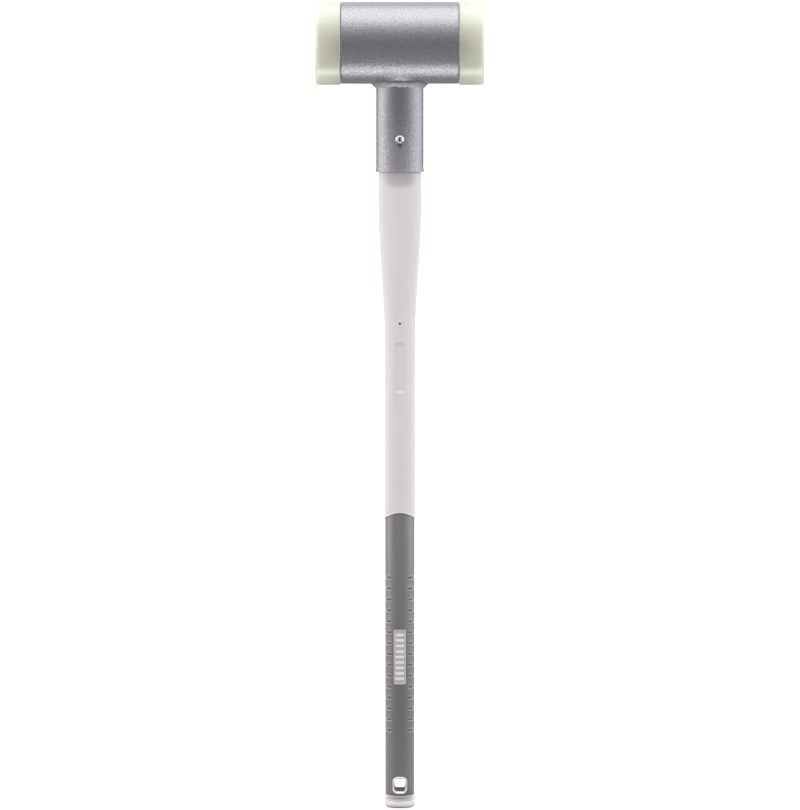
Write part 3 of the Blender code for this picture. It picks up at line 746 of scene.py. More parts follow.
def make_milky_plastic():
    """Milky moulded plastic with faint flow marks along the handle, painted shade in the pin hole, and
    painted shade under the socket's mouth.
    """
    look = Finish("moulded_milky_plastic", Subsurface_Weight=0.25, Subsurface_Radius=(1.0, 0.92, 0.9),
                  Subsurface_Scale=3 * MM, Specular_IOR_Level=0.08)
    flow = look.result("ShaderNodeMapping", {"Vector": look.place(), "Scale": (1, 1, 0.12)})
    streak = look.result("ShaderNodeTexNoise", {"Vector": flow, "Scale": 110.0, "Detail": 3.0})
    colour = look.colours(streak, (0.684, 0.649, 0.645), (0.739, 0.704, 0.697))
    # Painted shade inside the pin hole.
    hole_size = (4 * MM, 2 * PIN_HOLE_DEPTH, 4 * MM)
    hole = look.spot((0, PIN_HOLE_DEPTH - SHAFT_HALF, PIN_HOLE_LEVEL), hole_size, softness=0.2)
    colour = look.colours(hole, colour, (0.02, 0.019, 0.018))
    shade = look.spot((0, -BORE_HALF_DEPTH, MOUTH_LEVEL - 8 * MM), mm(60, 24, 28), 0.7, amount=0.55)
    colour = look.colours(shade, colour, (0.34, 0.305, 0.30))
    roughness = look.scuffed(look.mottled(70, 0.36, 0.46), 40, 0.1)
    return look.dress(colour, roughness, look.use(PEBBLES, Scale=1400, Grain=0.6), 0.008 * MM)


def start_white(name):
    """Satin white plastic: the finish, its roughness and the height of its grain."""
    look = Finish(name, Subsurface_Weight=0.12, Subsurface_Radius=(1.0, 0.95, 0.9), Subsurface_Scale=2 * MM)
    roughness = look.scuffed(look.mottled(150, 0.30, 0.40), 80, 0.12)
    return look, roughness, look.use(PEBBLES, Scale=1800, Grain=0.6)


def make_white_plastic():
    """Satin white plastic, with painted shade on the cap's band and foot, on the eye's rim and in the hanging
    eye, and a painted highlight on the eye's lower rim.
    """
    look, roughness, grain = start_white("satin_white_plastic")
    colour = look.colours(look.mottled(130), (0.775, 0.752, 0.730), (0.822, 0.797, 0.775))
    # Painted shadow on the cap's band under the eye's rim.
    band = look.spot((0, -GRIP_HALF, 13 * MM), mm(58, 40, 10), 1.0, amount=0.85)
    colour = look.colours(band, colour, (0.27, 0.26, 0.25))
    # Painted shade on the cap's foot, whose rounded edge faces down.
    foot = look.spot((0, 0, 0), mm(90, 90, 8), 0.9, amount=0.75)
    colour = look.colours(foot, colour, (0.27, 0.26, 0.255))
    # Painted shade inside the hanging eye; the same mask also roughens the surface there.
    painted_eye_shade = look.spot((0, 0, EYE_LEVEL), mm(32, 40, 26), softness=0.3)
    colour = look.colours(painted_eye_shade, colour, (0.40, 0.352, 0.315))
    rim_front = -GRIP_HALF - EYE_RIM_PROUD
    # Painted shade on the eye's rim.
    rim = look.spot((0, rim_front, EYE_LEVEL), mm(16.8, 12, 20), 0.3, amount=0.8)
    colour = look.colours(rim, colour, (0.22, 0.21, 0.20))
    # Painted highlight on the eye's lower rim, which faces up to the light.
    sill_level = EYE_LEVEL - EYE_HEIGHT / 2 - 1.5 * MM
    painted_sill_highlight = look.spot((0, rim_front, sill_level), mm(18, 6, 5), softness=0.5)
    colour = look.colours(painted_sill_highlight, colour, (0.98, 0.965, 0.95))
    roughness = look.math("MAXIMUM", roughness, look.math("MULTIPLY", painted_eye_shade, 0.95))
    return look.dress(colour, roughness, grain, WHITE_GRAIN_DEPTH)


def make_plate_plastic():
    """The same white plastic, greyer all over, with painted shade where the plate's field lies sunk."""
    look, roughness, grain = start_white("greyed_white_plastic")
    # Painted shade in the plate's sunk field, uneven over it.
    painted_shade_mask = look.math("MULTIPLY", look.marked("sunk"), look.mottled(300, 0.7, 1))
    colour = look.colours(painted_shade_mask, (0.55, 0.525, 0.512), (0.50, 0.477, 0.468))
    return look.dress(colour, roughness, grain, WHITE_GRAIN_DEPTH)


def make_grey_rubber():
    """Grey grip rubber with a fine moulded grain, a painted highlight on its lips, and painted shade in its
    cuts, down its front and by the eye.
    """
    look = Finish("grained_grey_rubber", Specular_IOR_Level=1.0, Sheen_Weight=0.15, Coat_Weight=0.8,
                  Coat_Roughness=0.3)
    colour = look.colours(look.mottled(75), (0.149, 0.141, 0.143), (0.176, 0.167, 0.170))
    # Painted shade down the middle of the grip's front, strongest low down.
    front = look.spot((0, -GRIP_HALF, 130 * MM), mm(32, 60, 460), 1.0, amount=0.5)
    colour = look.colours(front, colour, (0.06, 0.056, 0.058))
    # Painted highlight on the notches' lips and painted shade in their cuts.
    for name, tone in (("painted_lip_highlight", (0.33, 0.32, 0.322)), ("painted_cut_shade", (0.012, 0.011, 0.011))):
        colour = look.colours(look.math("MULTIPLY", look.marked(name), 0.9), colour, tone)
    # Painted shadow cast on the grip by the eye's rim.
    painted_shadow_by_eye = look.spot((4 * MM, -GRIP_HALF, EYE_LEVEL - 9 * MM), mm(28, 20, 22), 1.0, amount=0.75)
    colour = look.colours(painted_shadow_by_eye, colour, (0.07, 0.064, 0.06))
    grain = look.use(PEBBLES, Scale=1500, Grain=0.2)
    return look.dress(colour, look.mottled(60, 0.29, 0.31), grain, 0.02 * MM)


def make_zinc_plate():
    """Bright zinc plating with a faint yellow cast, and painted shade in the hexagon."""
    look = Finish("bright_zinc_plate", Metallic=1.0)
    colour = look.colours(look.mottled(600), (0.84, 0.84, 0.82), (0.87, 0.85, 0.78))
    # Painted shade in the hexagon socket.
    painted_hex_shade = look.spot((0, -18 * MM, SCREW_LEVEL), mm(2.4, 30, 7.2), softness=0.4)
    colour = look.colours(painted_hex_shade, colour, (0.03, 0.028, 0.024))
    roughness = look.scuffed(look.mottled(500, 0.16, 0.26), 300, 0.2)
    return look.dress(colour, roughness, look.use(PEBBLES, Scale=2500, Grain=0.5), 0.004 * MM)


def make_plain_steel():
    """Bare steel with a slight oil film."""
    look = Finish("oiled_plain_steel", Metallic=1.0)
    colour = look.colours(look.mottled(160), (0.42, 0.41, 0.39), (0.55, 0.54, 0.52))
    roughness = look.scuffed(look.mottled(260, 0.26, 0.42), 200, 0.2)
    return look.dress(colour, roughness, look.use(PEBBLES, Scale=1500, Grain=0.5), 0.008 * MM)


def make_fibreglass():
    """Pultruded rod: glass strands along it under a resin skin."""
    look = Finish("stranded_fibreglass", Coat_Weight=0.2)
    along = look.result("ShaderNodeMapping", {"Vector": look.place(), "Scale": (1, 1, 0.01)})
    strands = look.result("ShaderNodeTexNoise", {"Vector": along, "Scale": 1600.0, "Detail": 3.0})
    colour = look.colours(strands, (0.62, 0.55, 0.33), (0.84, 0.79, 0.58))
    return look.dress(colour, look.mottled(300, 0.38, 0.55), strands, 0.03 * MM)


# Pieces

def make_head_tube(paint):
    """Steel tube with rounded ends, counterbored for the discs and the faces' spigots."""
    edge, chamfer = TUBE_EDGE_RADIUS, SEAT_CHAMFER
    half = [(CHAMBER_RADIUS, SHOULDER), (SEAT_RADIUS, SHOULDER), (SEAT_RADIUS, TUBE_END - chamfer)]
    half += [(SEAT_RADIUS + chamfer, TUBE_END)] + arc((TUBE_RADIUS - edge, TUBE_END - edge), edge, 90, 0)
    profile = half + [(radius, -along) for radius, along in reversed(half)]
    return skin("painted_head_tube", head_rings(supported(profile, closed=True)), paint, ring_shaped=True)


def make_face(name, side, nylon):
    """Nylon face with its spigot."""
    back, edge, chamfer = FACE_BACK_RADIUS, FACE_EDGE_RADIUS, SPIGOT_CHAMFER
    profile = [(0, SPIGOT_TIP), (SPIGOT_RADIUS - chamfer, SPIGOT_TIP), (SPIGOT_RADIUS, SPIGOT_TIP + chamfer)]
    profile += [(SPIGOT_RADIUS, FACE_BACK)]
    profile += arc((FACE_RADIUS - back, FACE_BACK + back), back, -90, 0)
    profile += arc((FACE_RADIUS - edge, FACE_FRONT - edge), edge, 0, 90, 12)
    profile += [(FACE_RADIUS * 0.4, FACE_FRONT), (0, FACE_FRONT)]
    return skin(name, head_rings(supported(profile), side), nylon)


def socket_ring(grow, level_at, grow_depth=None):
    """A ring of the socket's bore, an ellipse, grown outward, at the level that a function gives for y."""
    turn = around(SOCKET_SIDES)
    half_depth = BORE_HALF_DEPTH + (grow if grow_depth is None else grow_depth)
    x, y = (BORE_HALF_WIDTH + grow) * np.cos(turn), half_depth * np.sin(turn)
    return np.stack([x, y, level_at(y)], -1)


def under_tube(gap):
    """A function for the level of the head tube's underside, less a gap."""
    return lambda y: HEAD_LEVEL - np.sqrt(TUBE_RADIUS ** 2 - y ** 2) - gap


def drill_for_screw(piece, half_depth):
    """Drills the screw's hole through a piece that reaches this far in front of and behind the axis."""
    past = half_depth + CUT_PAST
    drill = round_bar("screw_drill", SCREW_HOLE_RADIUS, SCREW_LEVEL, past, -past)
    return combine(piece, drill, "DIFFERENCE")


def make_socket(paint):
    """Oval tube with a lip at its mouth, coped to the head tube, and drilled for the screw."""
    lip, edge, chamfer = SOCKET_WALL + SOCKET_LIP, SOCKET_EDGE, BORE_CHAMFER
    low_end = [(0, SOCKET_LIP_HEIGHT), (0, chamfer), (chamfer, 0)] + arc((lip - edge, edge), edge, -90, 0, 5)
    low_end += [(lip - 0.1 * SOCKET_LIP, 0.5 * SOCKET_LIP_HEIGHT), (SOCKET_WALL, SOCKET_LIP_HEIGHT)]
    rings = [socket_ring(grow, lambda y, rise=rise: np.full(y.shape, MOUTH_LEVEL + rise))
             for grow, rise in supported(low_end)]
    outside, inside = [socket_ring(grow, under_tube(FIT_GAP)) for grow in (SOCKET_WALL, 0)]
    start = rings[-1]
    rings += [start + (outside - start) * share for share in (0.1, 0.5, 0.95)]
    rings += [outside, inside]
    socket = skin("painted_handle_socket", rings, paint, ring_shaped=True)
    return drill_for_screw(socket, BORE_HALF_DEPTH)


def make_weld(paint):
    """Fillet bead that bites into the socket and the head tube, with an uneven surface."""
    root = SOCKET_WALL - WELD_BITE
    toe, front_toe = SOCKET_WALL + WELD_LEG + WELD_BITE, SOCKET_WALL + WELD_FRONT_LEG
    top = [socket_ring(root + (toe - root) * share, under_tube(-WELD_BITE), root + (front_toe - root) * share)
           for share in (0, 0.5, 1)]
    foot = socket_ring(root, under_tube(WELD_DROP + WELD_BITE))
    # Marks run from 0 in the crease, which gets painted shade, to 1 on the bead, which gets painted light.
    face, marks = [], [0, 0, 0]
    for share in np.linspace(0, 1, WELD_STEPS + 1)[1:]:
        low = top[2] + (foot - top[2]) * share
        low[:, :2] = foot[:, :2] + (top[2] - foot)[:, :2] * (1 - ease(share ** WELD_HOLLOW))
        face.append(low)
        marks.append(min(share / WELD_CREASE, 1))
    bead = skin("painted_weld_bead", top + face, paint, ring_shaped=True, marks=marks)
    sizes = {"Ripple": 1.8 * MM, "Ripple height": 0.8 * MM, "Lump": 5 * MM, "Lump height": 1.0 * MM,
             "Seed": 3.0}
    grow_by(bead, ripple_tree(sizes), sizes, paint)
    bead.data.attributes["share"].name = "painted_light_share"
    return bead


def make_screw(zinc):
    """Button head screw with a hexagon socket, its end flush with the back of the handle socket."""
    seat = BORE_HALF_DEPTH + SOCKET_WALL + FIT_GAP
    top, end = seat + SCREW_HEAD_HEIGHT, -BORE_HALF_DEPTH - SOCKET_WALL
    shank, head, edge = SCREW_RADIUS, SCREW_HEAD_RADIUS, SCREW_EDGE
    profile = [(0, end), (shank - edge, end), (shank, end + edge), (shank, seat), (head - edge, seat)]
    profile += [(head, seat + edge)]
    over = head - SCREW_CROWN_RADIUS
    profile += [(SCREW_CROWN_RADIUS + over * x, seat + edge + (SCREW_HEAD_HEIGHT - edge) * y)
                for x, y in arc((0, 0), 1, 8, 90, 10)]
    turn = around(SCREW_SIDES)
    hexagon = math.cos(math.pi / 6) / np.cos((turn - math.pi / 2) % (math.pi / 3) - math.pi / 6)
    floor = top - HEX_DEPTH
    outlines = [(radius, out, 1) for radius, out in supported(profile)]
    outlines += [(HEX_RADIUS + 0.5 * edge, top, hexagon), (HEX_RADIUS, top - 0.5 * edge, hexagon)]
    outlines += [(HEX_RADIUS, floor + 0.5 * edge, hexagon), (HEX_RADIUS - 0.2 * edge, floor, hexagon)]
    outlines += [(0, floor - 2 * edge, 1)]
    rings = []
    for radius, out, form in outlines:
        x, z = radius * form * np.cos(turn), SCREW_LEVEL + radius * form * np.sin(turn)
        rings.append(np.stack([x, np.full(turn.shape, -out), z], -1))
    return skin("zinc_handle_screw", rings, zinc)


def jacket_angles():
    """Angles round the jacket's oval, close together across the front recess."""
    half_width = SHAFT_HALF + OVAL_EXCESS / 2
    edge = RECESS_WIDTH / 2
    close = np.arange(edge - 3.75 * MM, edge + 0.8 * MM, 0.25 * MM)
    beyond = np.linspace(edge + 1.2 * MM, half_width * 0.85, 9)
    xs = np.concatenate([np.linspace(0, edge - 4 * MM, 5), close, beyond])
    front = np.arccos((xs / half_width) ** (OVAL_POWER / 2))
    sides = np.linspace(0, front.min(), 12)[:-1]
    quarter = np.sort(np.concatenate([sides, front]))
    right = -quarter
    left = quarter - math.pi
    back = np.linspace(0, math.pi, 73)[1:-1]
    return np.unique(np.round(np.concatenate([right, left, back]), 9))


def arch_share(level):
    """Share of the grip's arch that the jacket's rings keep above it."""
    return float(1 - ease((level - GRIP_TOP) / GRIP_ARCH_FADE))


def jacket_levels():
    """Levels of the jacket's rings above its lip, close together at both ends of the recess."""
    bottom = RECESS_TOP - RECESS_HEIGHT
    lowest = GRIP_TOP + 2 * GRIP_EDGE + JACKET_LIP_HEIGHT
    close = np.arange(-0.75, 4.01, 0.25) * MM
    within = np.linspace(bottom + 6 * MM, RECESS_TOP - 6 * MM, 10)
    below = np.linspace(lowest, bottom - 2 * MM, 18)
    above = np.linspace(RECESS_TOP + 2 * MM, TAPER_TOP + 4 * MM, 56)
    return np.sort(np.concatenate([below, bottom + close, within, RECESS_TOP - close, above]))


def sink_recess(rings):
    """Sinks the front recess into the jacket's rings, with a ramp at both of its ends."""
    x, y, z = rings[..., 0], rings[..., 1], rings[..., 2]
    bottom = RECESS_TOP - RECESS_HEIGHT
    middle = RECESS_TOP - RECESS_HEIGHT / 2
    depth_in = inside_outline(x, z, RECESS_WIDTH, RECESS_HEIGHT, RECESS_RADIUS, middle)
    share = ease(depth_in / RECESS_WALL + 0.5) * (y < -SLIM_HALF)
    share *= np.clip(np.minimum(RECESS_TOP - z, z - bottom) / RECESS_RAMP, RECESS_END_SHARE, 1)
    floor = -(SHAFT_HALF - RECESS_DEPTH)
    rings[..., 1] = y + np.maximum(floor - y, 0) * share


def make_jacket(plastic):
    """Plastic jacket: slim under the grip, fuller along the shaft, and widest where it fills the socket."""
    angles = jacket_angles()
    edge = GRIP_EDGE
    rings = [oval_ring(ROD_BORE_RADIUS, JACKET_BOTTOM, angles, excess=0, power=2)]
    rings += [oval_ring(SLIM_HALF, JACKET_BOTTOM, angles), oval_ring(SLIM_HALF, GRIP_TOP, angles, GRIP_ARCH)]
    lip = SHAFT_HALF + JACKET_LIP
    lip_profile = arc((lip - edge, GRIP_TOP + edge), edge, -90, 0, 6)
    lip_profile += [(lip - JACKET_LIP * float(ease(share)), GRIP_TOP + edge + share * JACKET_LIP_HEIGHT)
                    for share in (0.25, 0.5, 0.75, 1)]
    rings += [oval_ring(half, level, angles, GRIP_ARCH) for half, level in lip_profile]
    for level in jacket_levels():
        share = ease((level - TAPER_BOTTOM) / (TAPER_TOP - TAPER_BOTTOM))
        excess = OVAL_EXCESS + (TENON_EXCESS - OVAL_EXCESS) * share
        power = OVAL_POWER + (2 - OVAL_POWER) * share
        rings.append(oval_ring(SHAFT_HALF, level, angles, GRIP_ARCH * arch_share(level), excess, power))
    for half, level in ((SHAFT_HALF, HANDLE_TOP - edge), (SHAFT_HALF - edge, HANDLE_TOP)):
        rings.append(oval_ring(half, level, angles, excess=TENON_EXCESS, power=2))
    rings.append(oval_ring(ROD_BORE_RADIUS, HANDLE_TOP, angles, excess=0, power=2))
    rings = np.array(rings)
    sink_recess(rings)
    jacket = skin("milky_handle_jacket", rings, plastic, ring_shaped=True)
    past = SHAFT_HALF + CUT_PAST
    hole = round_bar("pin_drill", PIN_HOLE_RADIUS, PIN_HOLE_LEVEL, past, SHAFT_HALF - PIN_HOLE_DEPTH)
    combine(jacket, hole, "DIFFERENCE")
    return drill_for_screw(jacket, SHAFT_HALF)


def grip_levels(crest):
    """Levels of the grip's rings below its crest, close together at each notch."""
    edge = GRIP_EDGE
    under = (-2.8, -2.4, -2, -1.7, -1.4, -1.1, -0.8, -0.4, 0)
    over = (0.2, 0.5, 0.8, 1.2, 1.6, 2, 2.4, 2.8, 3.2, 3.6)
    steps = np.array(under + over) * MM
    pair = np.array([-1, 1]) * MM
    notches = [NOTCH_FIRST - i * NOTCH_PITCH + steps for i in range(NOTCH_COUNT)]
    between = [NOTCH_FIRST - (i - 0.5) * NOTCH_PITCH + pair for i in range(NOTCH_COUNT + 1)]
    below = np.linspace(GRIP_BOTTOM + 2 * edge, NOTCH_FIRST - NOTCH_COUNT * NOTCH_PITCH, 14)
    above = np.linspace(NOTCH_FIRST + NOTCH_PITCH, crest - 2 * edge, 16)
    return np.sort(np.concatenate([below, *notches, *between, above]))


def make_grip(rubber):
    """Soft sleeve with notched sides, an arched top edge, a pocket for the plate and windows for the eye."""
    angles = around(OVAL_SIDES) + math.pi / OVAL_SIDES
    edge = GRIP_EDGE
    crest = GRIP_TOP - FIT_GAP
    plain = NOTCH_FIRST + NOTCH_PITCH
    rings = [oval_ring(half, level, angles)
             for half, level in arc((GRIP_HALF - edge, GRIP_BOTTOM + edge), edge, -90, 0, 6)]
    for level in grip_levels(crest):
        arch = GRIP_ARCH * float(ease((level - plain) / (crest - plain)))
        rings.append(oval_ring(GRIP_HALF, level, angles, arch))
    rings += [oval_ring(half, level, angles, GRIP_ARCH)
              for half, level in arc((GRIP_HALF - edge, crest - edge), edge, 0, 90, 6)]
    marks = [1] * len(rings) + [0, 0]
    inside = SLIM_HALF + FIT_GAP
    rings += [oval_ring(inside, crest, angles, GRIP_ARCH), oval_ring(inside, GRIP_BOTTOM, angles)]
    grip = skin("rubber_grip_sleeve", rings, rubber, ring_shaped=True, marks=marks)
    sizes = {"First level": NOTCH_FIRST, "Pitch": NOTCH_PITCH, "Count": NOTCH_COUNT, "Rise": NOTCH_RISE,
             "Drop": NOTCH_DROP, "Depth": NOTCH_DEPTH, "Inner edge": NOTCH_INNER_EDGE, "Ramp": NOTCH_RAMP,
             "Lip": NOTCH_LIP, "Lip height": NOTCH_LIP_HEIGHT, "Run-out": NOTCH_RUN_OUT,
             "Side share": NOTCH_SIDE_SHARE}
    grow_by(grip, notch_tree(sizes), sizes, rubber)

    past, gap = GRIP_HALF + CUT_PAST, 2 * FIT_GAP
    pocket = rounded_outline(PLATE_WIDTH + gap, PLATE_HEIGHT + gap, PLATE_RADIUS + FIT_GAP, PLATE_LEVEL)
    combine(grip, prism("plate_pocket", pocket, past, GRIP_HALF - PLATE_SEAT_DEPTH), "DIFFERENCE")
    window = eye_outline(EYE_RIM + FIT_GAP, EYE_RIM_RADIUS + FIT_GAP)
    return combine(grip, prism("eye_windows", window, past, -past), "DIFFERENCE")


def crown_at(x, proud):
    """Distance of the grip's front in front of the axis at x, grown outward."""
    half_depth = GRIP_HALF + proud
    half_width = half_depth + OVAL_EXCESS / 2
    return half_depth * (1 - (np.abs(x) / half_width) ** OVAL_POWER) ** (1 / OVAL_POWER)


def make_plate(plastic):
    """Bare plate with a rim round a sunk field, crowned to the grip."""
    edge = PLATE_EDGE
    back = GRIP_HALF - PLATE_SEAT_DEPTH + FIT_GAP
    field = -PLATE_RIM - 0.5 * PLATE_RELIEF
    rows = [(0, None), (0, edge), (-0.13 * edge, 0.5 * edge), (-0.5 * edge, 0.13 * edge), (-edge, 0)]
    rows += [(-PLATE_RIM + 0.3 * edge, 0), (-PLATE_RIM, 0.2 * edge)]
    rows += [(field + 0.2 * edge, PLATE_RELIEF - 0.2 * edge), (field, PLATE_RELIEF)]
    middle = 0.02 * MM - PLATE_WIDTH / 2
    rows += [(field + (middle - field) * share, PLATE_RELIEF) for share in (0.3, 0.65, 1)]
    rings, marks = [], []
    for grow, sink in rows:
        outline = rounded_outline(PLATE_WIDTH + 2 * grow, PLATE_HEIGHT + 2 * grow,
                                  max(PLATE_RADIUS + grow, 0.01 * MM), PLATE_LEVEL)
        x, z = np.array(outline).T
        y = np.full(x.shape, back) if sink is None else crown_at(x, PLATE_PROUD) - sink
        rings.append(np.stack([x, -y, z], -1))
        marks.append(0 if sink is None else min(sink / PLATE_RELIEF, 1) * (grow < -edge))
    plate = skin("white_grip_plate", rings, plastic, marks=marks)
    plate.data.attributes["share"].name = "sunk"
    return plate


def make_bars(plastic):
    """Plain raised bars across the plate's field."""
    inner = PLATE_WIDTH - 2 * PLATE_RIM
    span = PLATE_HEIGHT - 2 * PLATE_RIM
    pitch = (span + PLATE_BAR_HEIGHT) / (PLATE_BARS + 1)
    edge = PLATE_BAR_EDGE
    seat = -PLATE_RELIEF - PLATE_BAR_SEAT
    rings = []
    for grow, out in ((0, seat), (0, -edge), (-0.3 * edge, -0.3 * edge), (-edge, 0)):
        width, height = inner - 2 * PLATE_BAR_MARGIN + 2 * grow, PLATE_BAR_HEIGHT + 2 * grow
        outline = rounded_outline(width, height, PLATE_BAR_RADIUS + grow, 0, 5)
        rings.append(np.array([(x, -out, z) for x, z in outline]))
    middle = rings[-1].copy()
    middle[:, 2] = 0
    middle[:, 0] *= 0.9
    bar = skin("white_plate_bars", rings + [middle], plastic)
    half_depth = GRIP_HALF + PLATE_PROUD
    sizes = {"Count": PLATE_BARS, "Pitch": pitch, "Level": PLATE_LEVEL, "Half depth": half_depth,
             "Half width": half_depth + OVAL_EXCESS / 2, "Power": OVAL_POWER}
    return grow_by(bar, bar_tree(sizes), sizes, plastic)


def eye_outline(grow, radius=None):
    """The eye's opening grown outward, with its own corners or these."""
    width, height = EYE_WIDTH + 2 * grow, EYE_HEIGHT + 2 * grow
    return rounded_outline(width, height, radius or EYE_RADIUS + grow, EYE_LEVEL, 12)


def make_end_cap(plastic):
    """End cap: rounded foot, flange, groove and band, a tang in the grip with the hanging eye, and a stub."""
    angles = around(OVAL_SIDES) + math.pi / OVAL_SIDES
    edge = CAP_TOP_EDGE
    flange = CAP_HALF - CAP_FLANGE_TAPER
    foot = CAP_HALF - CAP_EDGE_RADIUS
    groove = BAND_HALF - CAP_GROOVE
    profile = [(foot * share, 0) for share in (0.35, 0.7)]
    profile += arc((foot, CAP_EDGE_RADIUS), CAP_EDGE_RADIUS, -90, 0, 12)
    profile += arc((flange - edge, CAP_FLANGE_HEIGHT - edge), edge, 0, 70, 4)
    profile += [(groove, CAP_FLANGE_HEIGHT + 0.5 * CAP_GROOVE), (groove, CAP_FLANGE_HEIGHT + CAP_GROOVE)]
    profile += arc((BAND_HALF - edge, CAP_FLANGE_HEIGHT + 2 * CAP_GROOVE), edge, -60, 0, 4)
    profile += arc((BAND_HALF - edge, CAP_HEIGHT - edge), edge, 0, 90, 5)
    profile += [(SLIM_HALF, CAP_HEIGHT), (SLIM_HALF, TANG_TOP)]
    rings = [oval_ring(half, level, angles) for half, level in supported(profile)]
    rings += [oval_ring(STUB_RADIUS, level, angles, excess=0, power=2) for level in (TANG_TOP, STUB_TOP)]
    cap = skin("white_end_cap", rings, plastic)

    rim = GRIP_HALF + EYE_RIM_PROUD
    outer = [(EYE_RIM - EYE_OUTER_ROUND + x, rim - EYE_OUTER_ROUND + y)
             for x, y in arc((0, 0), EYE_OUTER_ROUND, 90, 0)]
    outer += [(grow, -out) for grow, out in reversed(outer)]
    boss = front_rings([(eye_outline(grow, EYE_RIM_RADIUS + grow - EYE_RIM), out) for grow, out in outer])
    combine(cap, skin("eye_boss", boss, None), "UNION")
    inner = [(EYE_INNER_ROUND, rim + CUT_PAST)]
    inner += [(EYE_INNER_ROUND - x, rim - EYE_INNER_ROUND + y)
              for x, y in arc((0, 0), EYE_INNER_ROUND, 90, 0)]
    inner += [(grow, -out) for grow, out in reversed(inner)]
    opening = front_rings([(eye_outline(grow), out) for grow, out in inner])
    return combine(cap, skin("eye_cutter", opening, None), "DIFFERENCE")


def middle_of(node):
    """Middle of a CAD node's box."""
    low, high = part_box(node)
    return tuple((low + high) / 2)


def make_shot(steel):
    """The loose shot, one ball for each of its solids."""
    nodes = [f"shot_{number:02d}" for number in range(1, SHOT_COUNT + 1)]
    mesh = bpy.data.meshes.new("steel_shot")
    mesh.from_pydata([middle_of(node) for node in nodes], [], [])
    shot = bpy.data.objects.new("steel_shot", mesh)
    bpy.context.scene.collection.objects.link(shot)
    sizes = {"Diameter": SHOT_DIAMETER, "Subdivisions": 4}
    grow_by(shot, ball_tree(sizes), sizes, steel)
    shot.data.materials.pop(index=0)
    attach(shot, "shot_charge")
    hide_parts(*nodes)


def dress_hammer():
    """Makes every visible piece, and gives the hidden rod and discs their finish."""
    paint = make_silver_paint("pebbled_silver_paint", 0.25, 750, 0.24 * MM)
    bead = make_silver_paint("beaded_silver_paint", 0.32, 380, 0.7 * MM, creased=True)
    nylon, milky = make_ivory_nylon(), make_milky_plastic()
    white, rubber, zinc = make_white_plastic(), make_grey_rubber(), make_zinc_plate()
    steel, fibreglass, plate = make_plain_steel(), make_fibreglass(), make_plate_plastic()

    made = [
        (make_head_tube(paint), "head_tube", "silver_paint"),
        (make_socket(paint), "handle_socket", "silver_paint"),
        (make_weld(bead), "socket_weld", "silver_paint"),
        (make_face("nylon_left_face", -1, nylon), "left_face", "ivory_nylon"),
        (make_face("nylon_right_face", 1, nylon), "right_face", "ivory_nylon"),
        (make_screw(zinc), "handle_screw", "zinc_plate"),
        (make_jacket(milky), "handle_jacket", "milky_plastic"),
        (make_grip(rubber), "grip_sleeve", "grey_rubber"),
        (make_plate(plate), "grip_plate", "white_plastic"),
        (make_bars(white), None, "white_plastic"),
        (make_end_cap(white), "end_cap", "white_plastic"),
    ]
    for piece, node, slot in made:
        for attribute in [a for a in piece.data.attributes if a.name == "share"]:
            piece.data.attributes.remove(attribute)
        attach(piece, "hammer")
        if node:
            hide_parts(node)
    make_shot(steel)
    for node, material in (("left_disc", steel), ("right_disc", steel), ("fibreglass_rod", fibreglass)):
        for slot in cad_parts[node].material_slots:
            slot.material = material


# Studio

def add_softbox(name, place, target, width, height, glow, colour=(1, 1, 1), spread=180):
    """A rectangular lamp of that glow (its radiance) that looks at a target. Less spread narrows its beam."""
    lamp = bpy.data.lights.new(name, "AREA")
    lamp.shape = "RECTANGLE"
    lamp.size, lamp.size_y = width, height
    lamp.energy = glow * math.pi * width * height
    lamp.color = colour
    lamp.spread = math.radians(spread)
    obj = bpy.data.objects.new(name, lamp)
    bpy.context.scene.collection.objects.link(obj)
    aim = Vector(target) - Vector(place)
    obj.location = place
    obj.rotation_euler = aim.to_track_quat("-Z", "Y").to_euler()


def seen_rays(tree):
    """1 for rays that show the background itself, else 0."""
    paths = tree.add("ShaderNodeLightPath").outputs
    return tree.math("MAXIMUM", paths["Is Camera Ray"], paths["Is Transmission Ray"])


def make_floor():
    """Floor that is white to the camera, apart from the shadow on it."""
    reach = FLOOR_REACH
    mesh = bpy.data.meshes.new("floor")
    corners = [(-reach, -reach, 0), (reach, -reach, 0), (reach, reach, 0), (-reach, reach, 0)]
    mesh.from_pydata(corners, [], [(0, 1, 2, 3)])
    floor = bpy.data.objects.new("floor", mesh)
    bpy.context.scene.collection.objects.link(floor)
    pale = bpy.data.materials.new("pale_floor")
    pale.use_nodes = True
    tree = Tree(pale.node_tree)
    tree.tree.nodes.clear()
    place = tree.place()
    seen = seen_rays(tree)
    away = tree.add("ShaderNodeVectorMath", {0: place}, operation="LENGTH").outputs["Value"]
    far = tree.smooth_step(away, 1.0, 4.0)
    glow = tree.math("MULTIPLY", seen, tree.math("MULTIPLY_ADD", far, FLOOR_FAR_GLOW, FLOOR_GLOW))
    matt = tree.result("ShaderNodeBsdfDiffuse", {"Color": (FLOOR_GREY, FLOOR_GREY, FLOOR_GREY, 1)})
    light = tree.result("ShaderNodeEmission", {"Color": (1, 1, 1, 1), "Strength": glow})
    both = tree.result("ShaderNodeAddShader", {0: matt, 1: light})
    tree.add("ShaderNodeOutputMaterial", {"Surface": both})
    mesh.materials.append(pale)


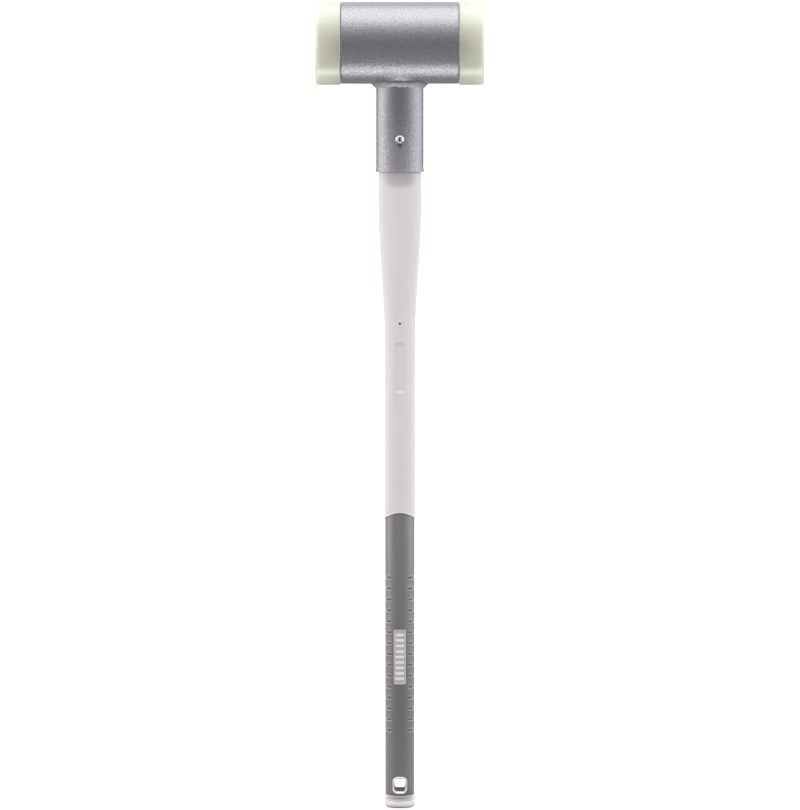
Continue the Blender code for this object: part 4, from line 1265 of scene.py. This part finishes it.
def make_room(glow):
    """White backdrop behind the hammer, and a room that glows by this much above, in front and behind."""
    world = bpy.data.worlds.new("room")
    bpy.context.scene.world = world
    world.use_nodes = True
    tree = Tree(world.node_tree)
    tree.tree.nodes.clear()
    way = tree.add("ShaderNodeTexCoord").outputs["Generated"]
    x, y, z = tree.add("ShaderNodeSeparateXYZ", {"Vector": way}).outputs
    level = tree.vector("NORMALIZE", tree.result("ShaderNodeCombineXYZ", {"X": x, "Y": y}))
    toward = tree.add("ShaderNodeSeparateXYZ", {"Vector": level}).outputs[1]
    top = tree.smooth_step(z, 0.27, 0.82)
    low = tree.math("SUBTRACT", 1, top)
    front = tree.math("MULTIPLY", low, tree.smooth_step(toward, -0.2, -0.95))
    back = tree.math("MULTIPLY", low, tree.smooth_step(toward, 0.05, 0.6))
    total = 0.0
    for name, share in (("top", top), ("front", front), ("back", back)):
        total = tree.math("ADD", total, tree.math("MULTIPLY", share, glow[name]))
    backdrop = tree.math("MAXIMUM", seen_rays(tree), tree.smooth_step(y, 0.94, 0.98))
    strength = tree.result("ShaderNodeMix", {0: backdrop, 2: total, 3: 1.0})
    light = tree.result("ShaderNodeBackground", {"Color": (1, 1, 1, 1), "Strength": strength})
    tree.add("ShaderNodeOutputWorld", {"Surface": light})


def make_studio():
    """Floor, room, softboxes above and to both sides, a strip under the head, and the camera."""
    scene = bpy.context.scene
    scene.view_settings.view_transform = "Standard"
    make_floor()
    make_room({"top": 1.12, "front": 0.31, "back": 1.1})
    add_softbox("top_softbox", (0, 0, 2.6), (0, 0, 0), width=2.4, height=2.0, glow=1.88,
                colour=(0.98, 1, 1.005))
    add_softbox("under_strip", (0, -0.06, 0.76), (0, -0.06, 1), width=0.45, height=0.06, glow=0.40, spread=50)
    places = {"front_softbox": (1.33, -1.35), "softbox": (1.78, -0.65), "rear_softbox": (1.9, 0.3)}
    sides = {"left": (-1, (1, 0.96, 0.97), (0.8, 2.45, 1.9)),
             "right": (1, (0.975, 0.98, 1.02), (1.0, 1.95, 1.7))}
    for side, (sign, colour, glows) in sides.items():
        for (lamp, (x, y)), glow in zip(places.items(), glows):
            place = (sign * x, y, SIDE_LAMP_LEVEL)
            add_softbox(f"{side}_{lamp}", place, SIDE_LAMP_TARGET, *SIDE_LAMP_SIZE, glow, colour)

    camera = bpy.data.cameras.new("camera")
    camera.sensor_width = CAMERA_SENSOR
    camera.lens = CAMERA_LENS
    obj = bpy.data.objects.new("camera", camera)
    scene.collection.objects.link(obj)
    obj.location = CAMERA_PLACE
    obj.rotation_euler = (CAMERA_TILT, 0, 0)
    scene.camera = obj


make_studio()
dress_hammer()
